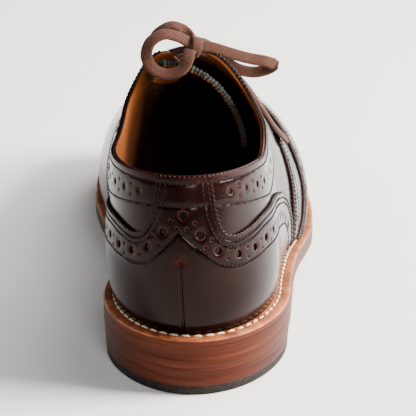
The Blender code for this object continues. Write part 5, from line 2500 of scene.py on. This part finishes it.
@dataclass
class Studio:
    """Floor, soft lights and the camera at the photograph's angle."""

    last: Last
    azimuth: float = math.radians(1.061)
    elevation: float = math.radians(19.972)
    distance: float = 732 * MM
    target: tuple[float, float, float] = (0.0, 40 * MM, 40 * MM)
    focal_pixels: float = 1341.754
    middle_pixel: tuple[float, float] = (260.209, 256.174)
    crop_centre: tuple[float, float] = (268.0, 227.0)
    crop_pixels: float = 290.0
    sensor: float = 36.0
    floor_size: float = 14.0
    surround: Colour = (0.9, 0.9, 0.9)
    surround_strength: float = 0.12
    lights: tuple[Softbox, ...] = (
        Softbox("overhead_softbox", (0.8, 0.35, 1.7), (0.1, 0.05, 0.0), (1.3, 1.2), 22.0),
        Softbox("right_softbox", (1.30, -0.05, 0.75), (0.1, 0.0, 0.0), (0.8, 0.8), 125.0, WARM),
        Softbox("front_softbox", (1.5, 1.9, 1.1), (0.4, 0.4, 0.0), (2.0, 1.5), 80.0, WARM),
        Softbox("camera_fill", (0.45, -1.8, 0.72), (0.0, -0.1, 0.05), (0.5, 0.5), 15.0),
        Softbox("left_fill", (-1.7, 0.5, 0.8), (0.0, 0.0, 0.06), (0.9, 0.7), 12.0),
    )

    def camera(self) -> None:
        """The camera, aimed so that the one shoe fills the square frame."""
        toward = np.array([math.sin(self.azimuth) * math.cos(self.elevation),
                           -math.cos(self.azimuth) * math.cos(self.elevation), math.sin(self.elevation)])
        right = np.array([math.cos(self.azimuth), math.sin(self.azimuth), 0.0])
        up = np.cross(toward, right)
        place = np.array(self.target) + toward * self.distance - self.last.centre
        off = (np.array(self.crop_centre) - np.array(self.middle_pixel)) / self.focal_pixels
        aim = -toward + right * off[0] - up * off[1]
        bpy.ops.object.camera_add(location=place)
        camera = bpy.context.object
        camera.name = "photo_camera"
        camera.rotation_euler = Vector(aim).to_track_quat("-Z", "Y").to_euler()
        camera.data.sensor_width = self.sensor
        camera.data.lens = self.sensor * self.focal_pixels / self.crop_pixels
        camera.data.clip_start = 0.01
        bpy.context.scene.camera = camera

    def build(self, floor_finish: Material) -> None:
        """Set the stage: floor, camera, lights and surroundings.

        Args:
            floor_finish: The floor's material.
        """
        bpy.ops.object.select_all(action="DESELECT")
        bpy.ops.mesh.primitive_plane_add(size=self.floor_size, location=(0.0, 0.0, 0.0))
        floor = bpy.context.object
        floor.name = "studio_floor"
        floor.data.materials.append(floor_finish)
        floor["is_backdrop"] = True
        self.camera()
        for box in self.lights:
            self.hang(box)
        world = bpy.data.worlds.new("pale_studio")
        world.use_nodes = True
        background = world.node_tree.nodes["Background"].inputs
        background["Color"].default_value = (*self.surround, 1.0)
        background["Strength"].default_value = self.surround_strength
        bpy.context.scene.world = world

    def hang(self, box: Softbox) -> None:
        """Hang one soft light.

        Args:
            box: The light.
        """
        bpy.ops.object.light_add(type="AREA", location=box.place)
        light = bpy.context.object
        light.name = box.name
        light.data.shape = "RECTANGLE"
        light.data.size, light.data.size_y = box.size
        light.data.energy = box.watts
        light.data.color = box.colour
        light.rotation_euler = (Vector(box.aim) - Vector(box.place)).to_track_quat("-Z", "Y").to_euler()


def write_sizes() -> None:
    """Work out the CAD box and the dressed box as plain numbers."""
    boxes = {"cad": CAD_BOX, "visual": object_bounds()}
    plain = {name: [[float(number) for number in corner] for corner in box] for name, box in boxes.items()}


def main() -> None:
    """Build the shoe's looks in order."""
    logging.basicConfig(level=logging.INFO, format="%(name)s %(message)s")
    last = Last()
    Studio(last).build(PaleFloor().material())
    lacing = Lacing(last, WovenCotton().material())
    lacing.bow()
    for number, bar in enumerate(lacing.bars()):
        finish_piece(bar, Slot.LACE, [f"lace_bar_{number + 1}"])

    leather = PolishedLeather().material()
    lining = TanLining().material()
    quarters = Quarters(last, leather, lining)
    finish_piece(quarters.build(), Slot.LEATHER, ["upper"])
    finish_piece(quarters.eyelets(lacing.eyelet_places(), lacing.bar_reach), Slot.LEATHER)
    sewing = Stitching(DARK_THREAD.material())
    quarters.facing_rows(sewing)
    heel_leather = HeelLeather(last, sewing, leather)
    finish_piece(heel_leather.counter(), Slot.LEATHER, ["counter"])
    for side in Side:
        finish_piece(heel_leather.band(side), Slot.LEATHER)
    forepart = Forepart(last, sewing, leather)
    finish_piece(forepart.vamp(), Slot.LEATHER, ["vamp"])
    finish_piece(forepart.wing(), Slot.LEATHER, ["wing_cap"])
    finish_piece(sewing.piece("upper_stitches"), Slot.LEATHER)
    finish_piece(Tongue(last).build(leather, NAPPED_TONGUE.material(), lining), Slot.TONGUE, ["tongue"])

    edge = StainedEdge().material()
    bottom = Bottom(last)
    finish_piece(bottom.welt(WELT_LEATHER.material(), edge), Slot.SOLE, ["welt"])
    finish_piece(bottom.outsole(edge), Slot.SOLE, ["outsole"])
    finish_piece(bottom.insole(lining), Slot.LINING, ["insole"])
    lifts = bottom.heel(edge, HEEL_RUBBER.material())
    finish_piece(lifts[0], Slot.RUBBER, ["heel_top_piece"])
    for lift in lifts[1:]:
        finish_piece(lift, Slot.STACK, [lift.name.replace("stacked", "heel")])
    welt_sewing = Stitching(CREAM_THREAD.material(), 4.4 * MM, 3.5 * MM, 0.55 * MM)
    finish_piece(bottom.stitches(welt_sewing), Slot.SOLE)
    write_sizes()


if __name__ == "__main__":
    main()
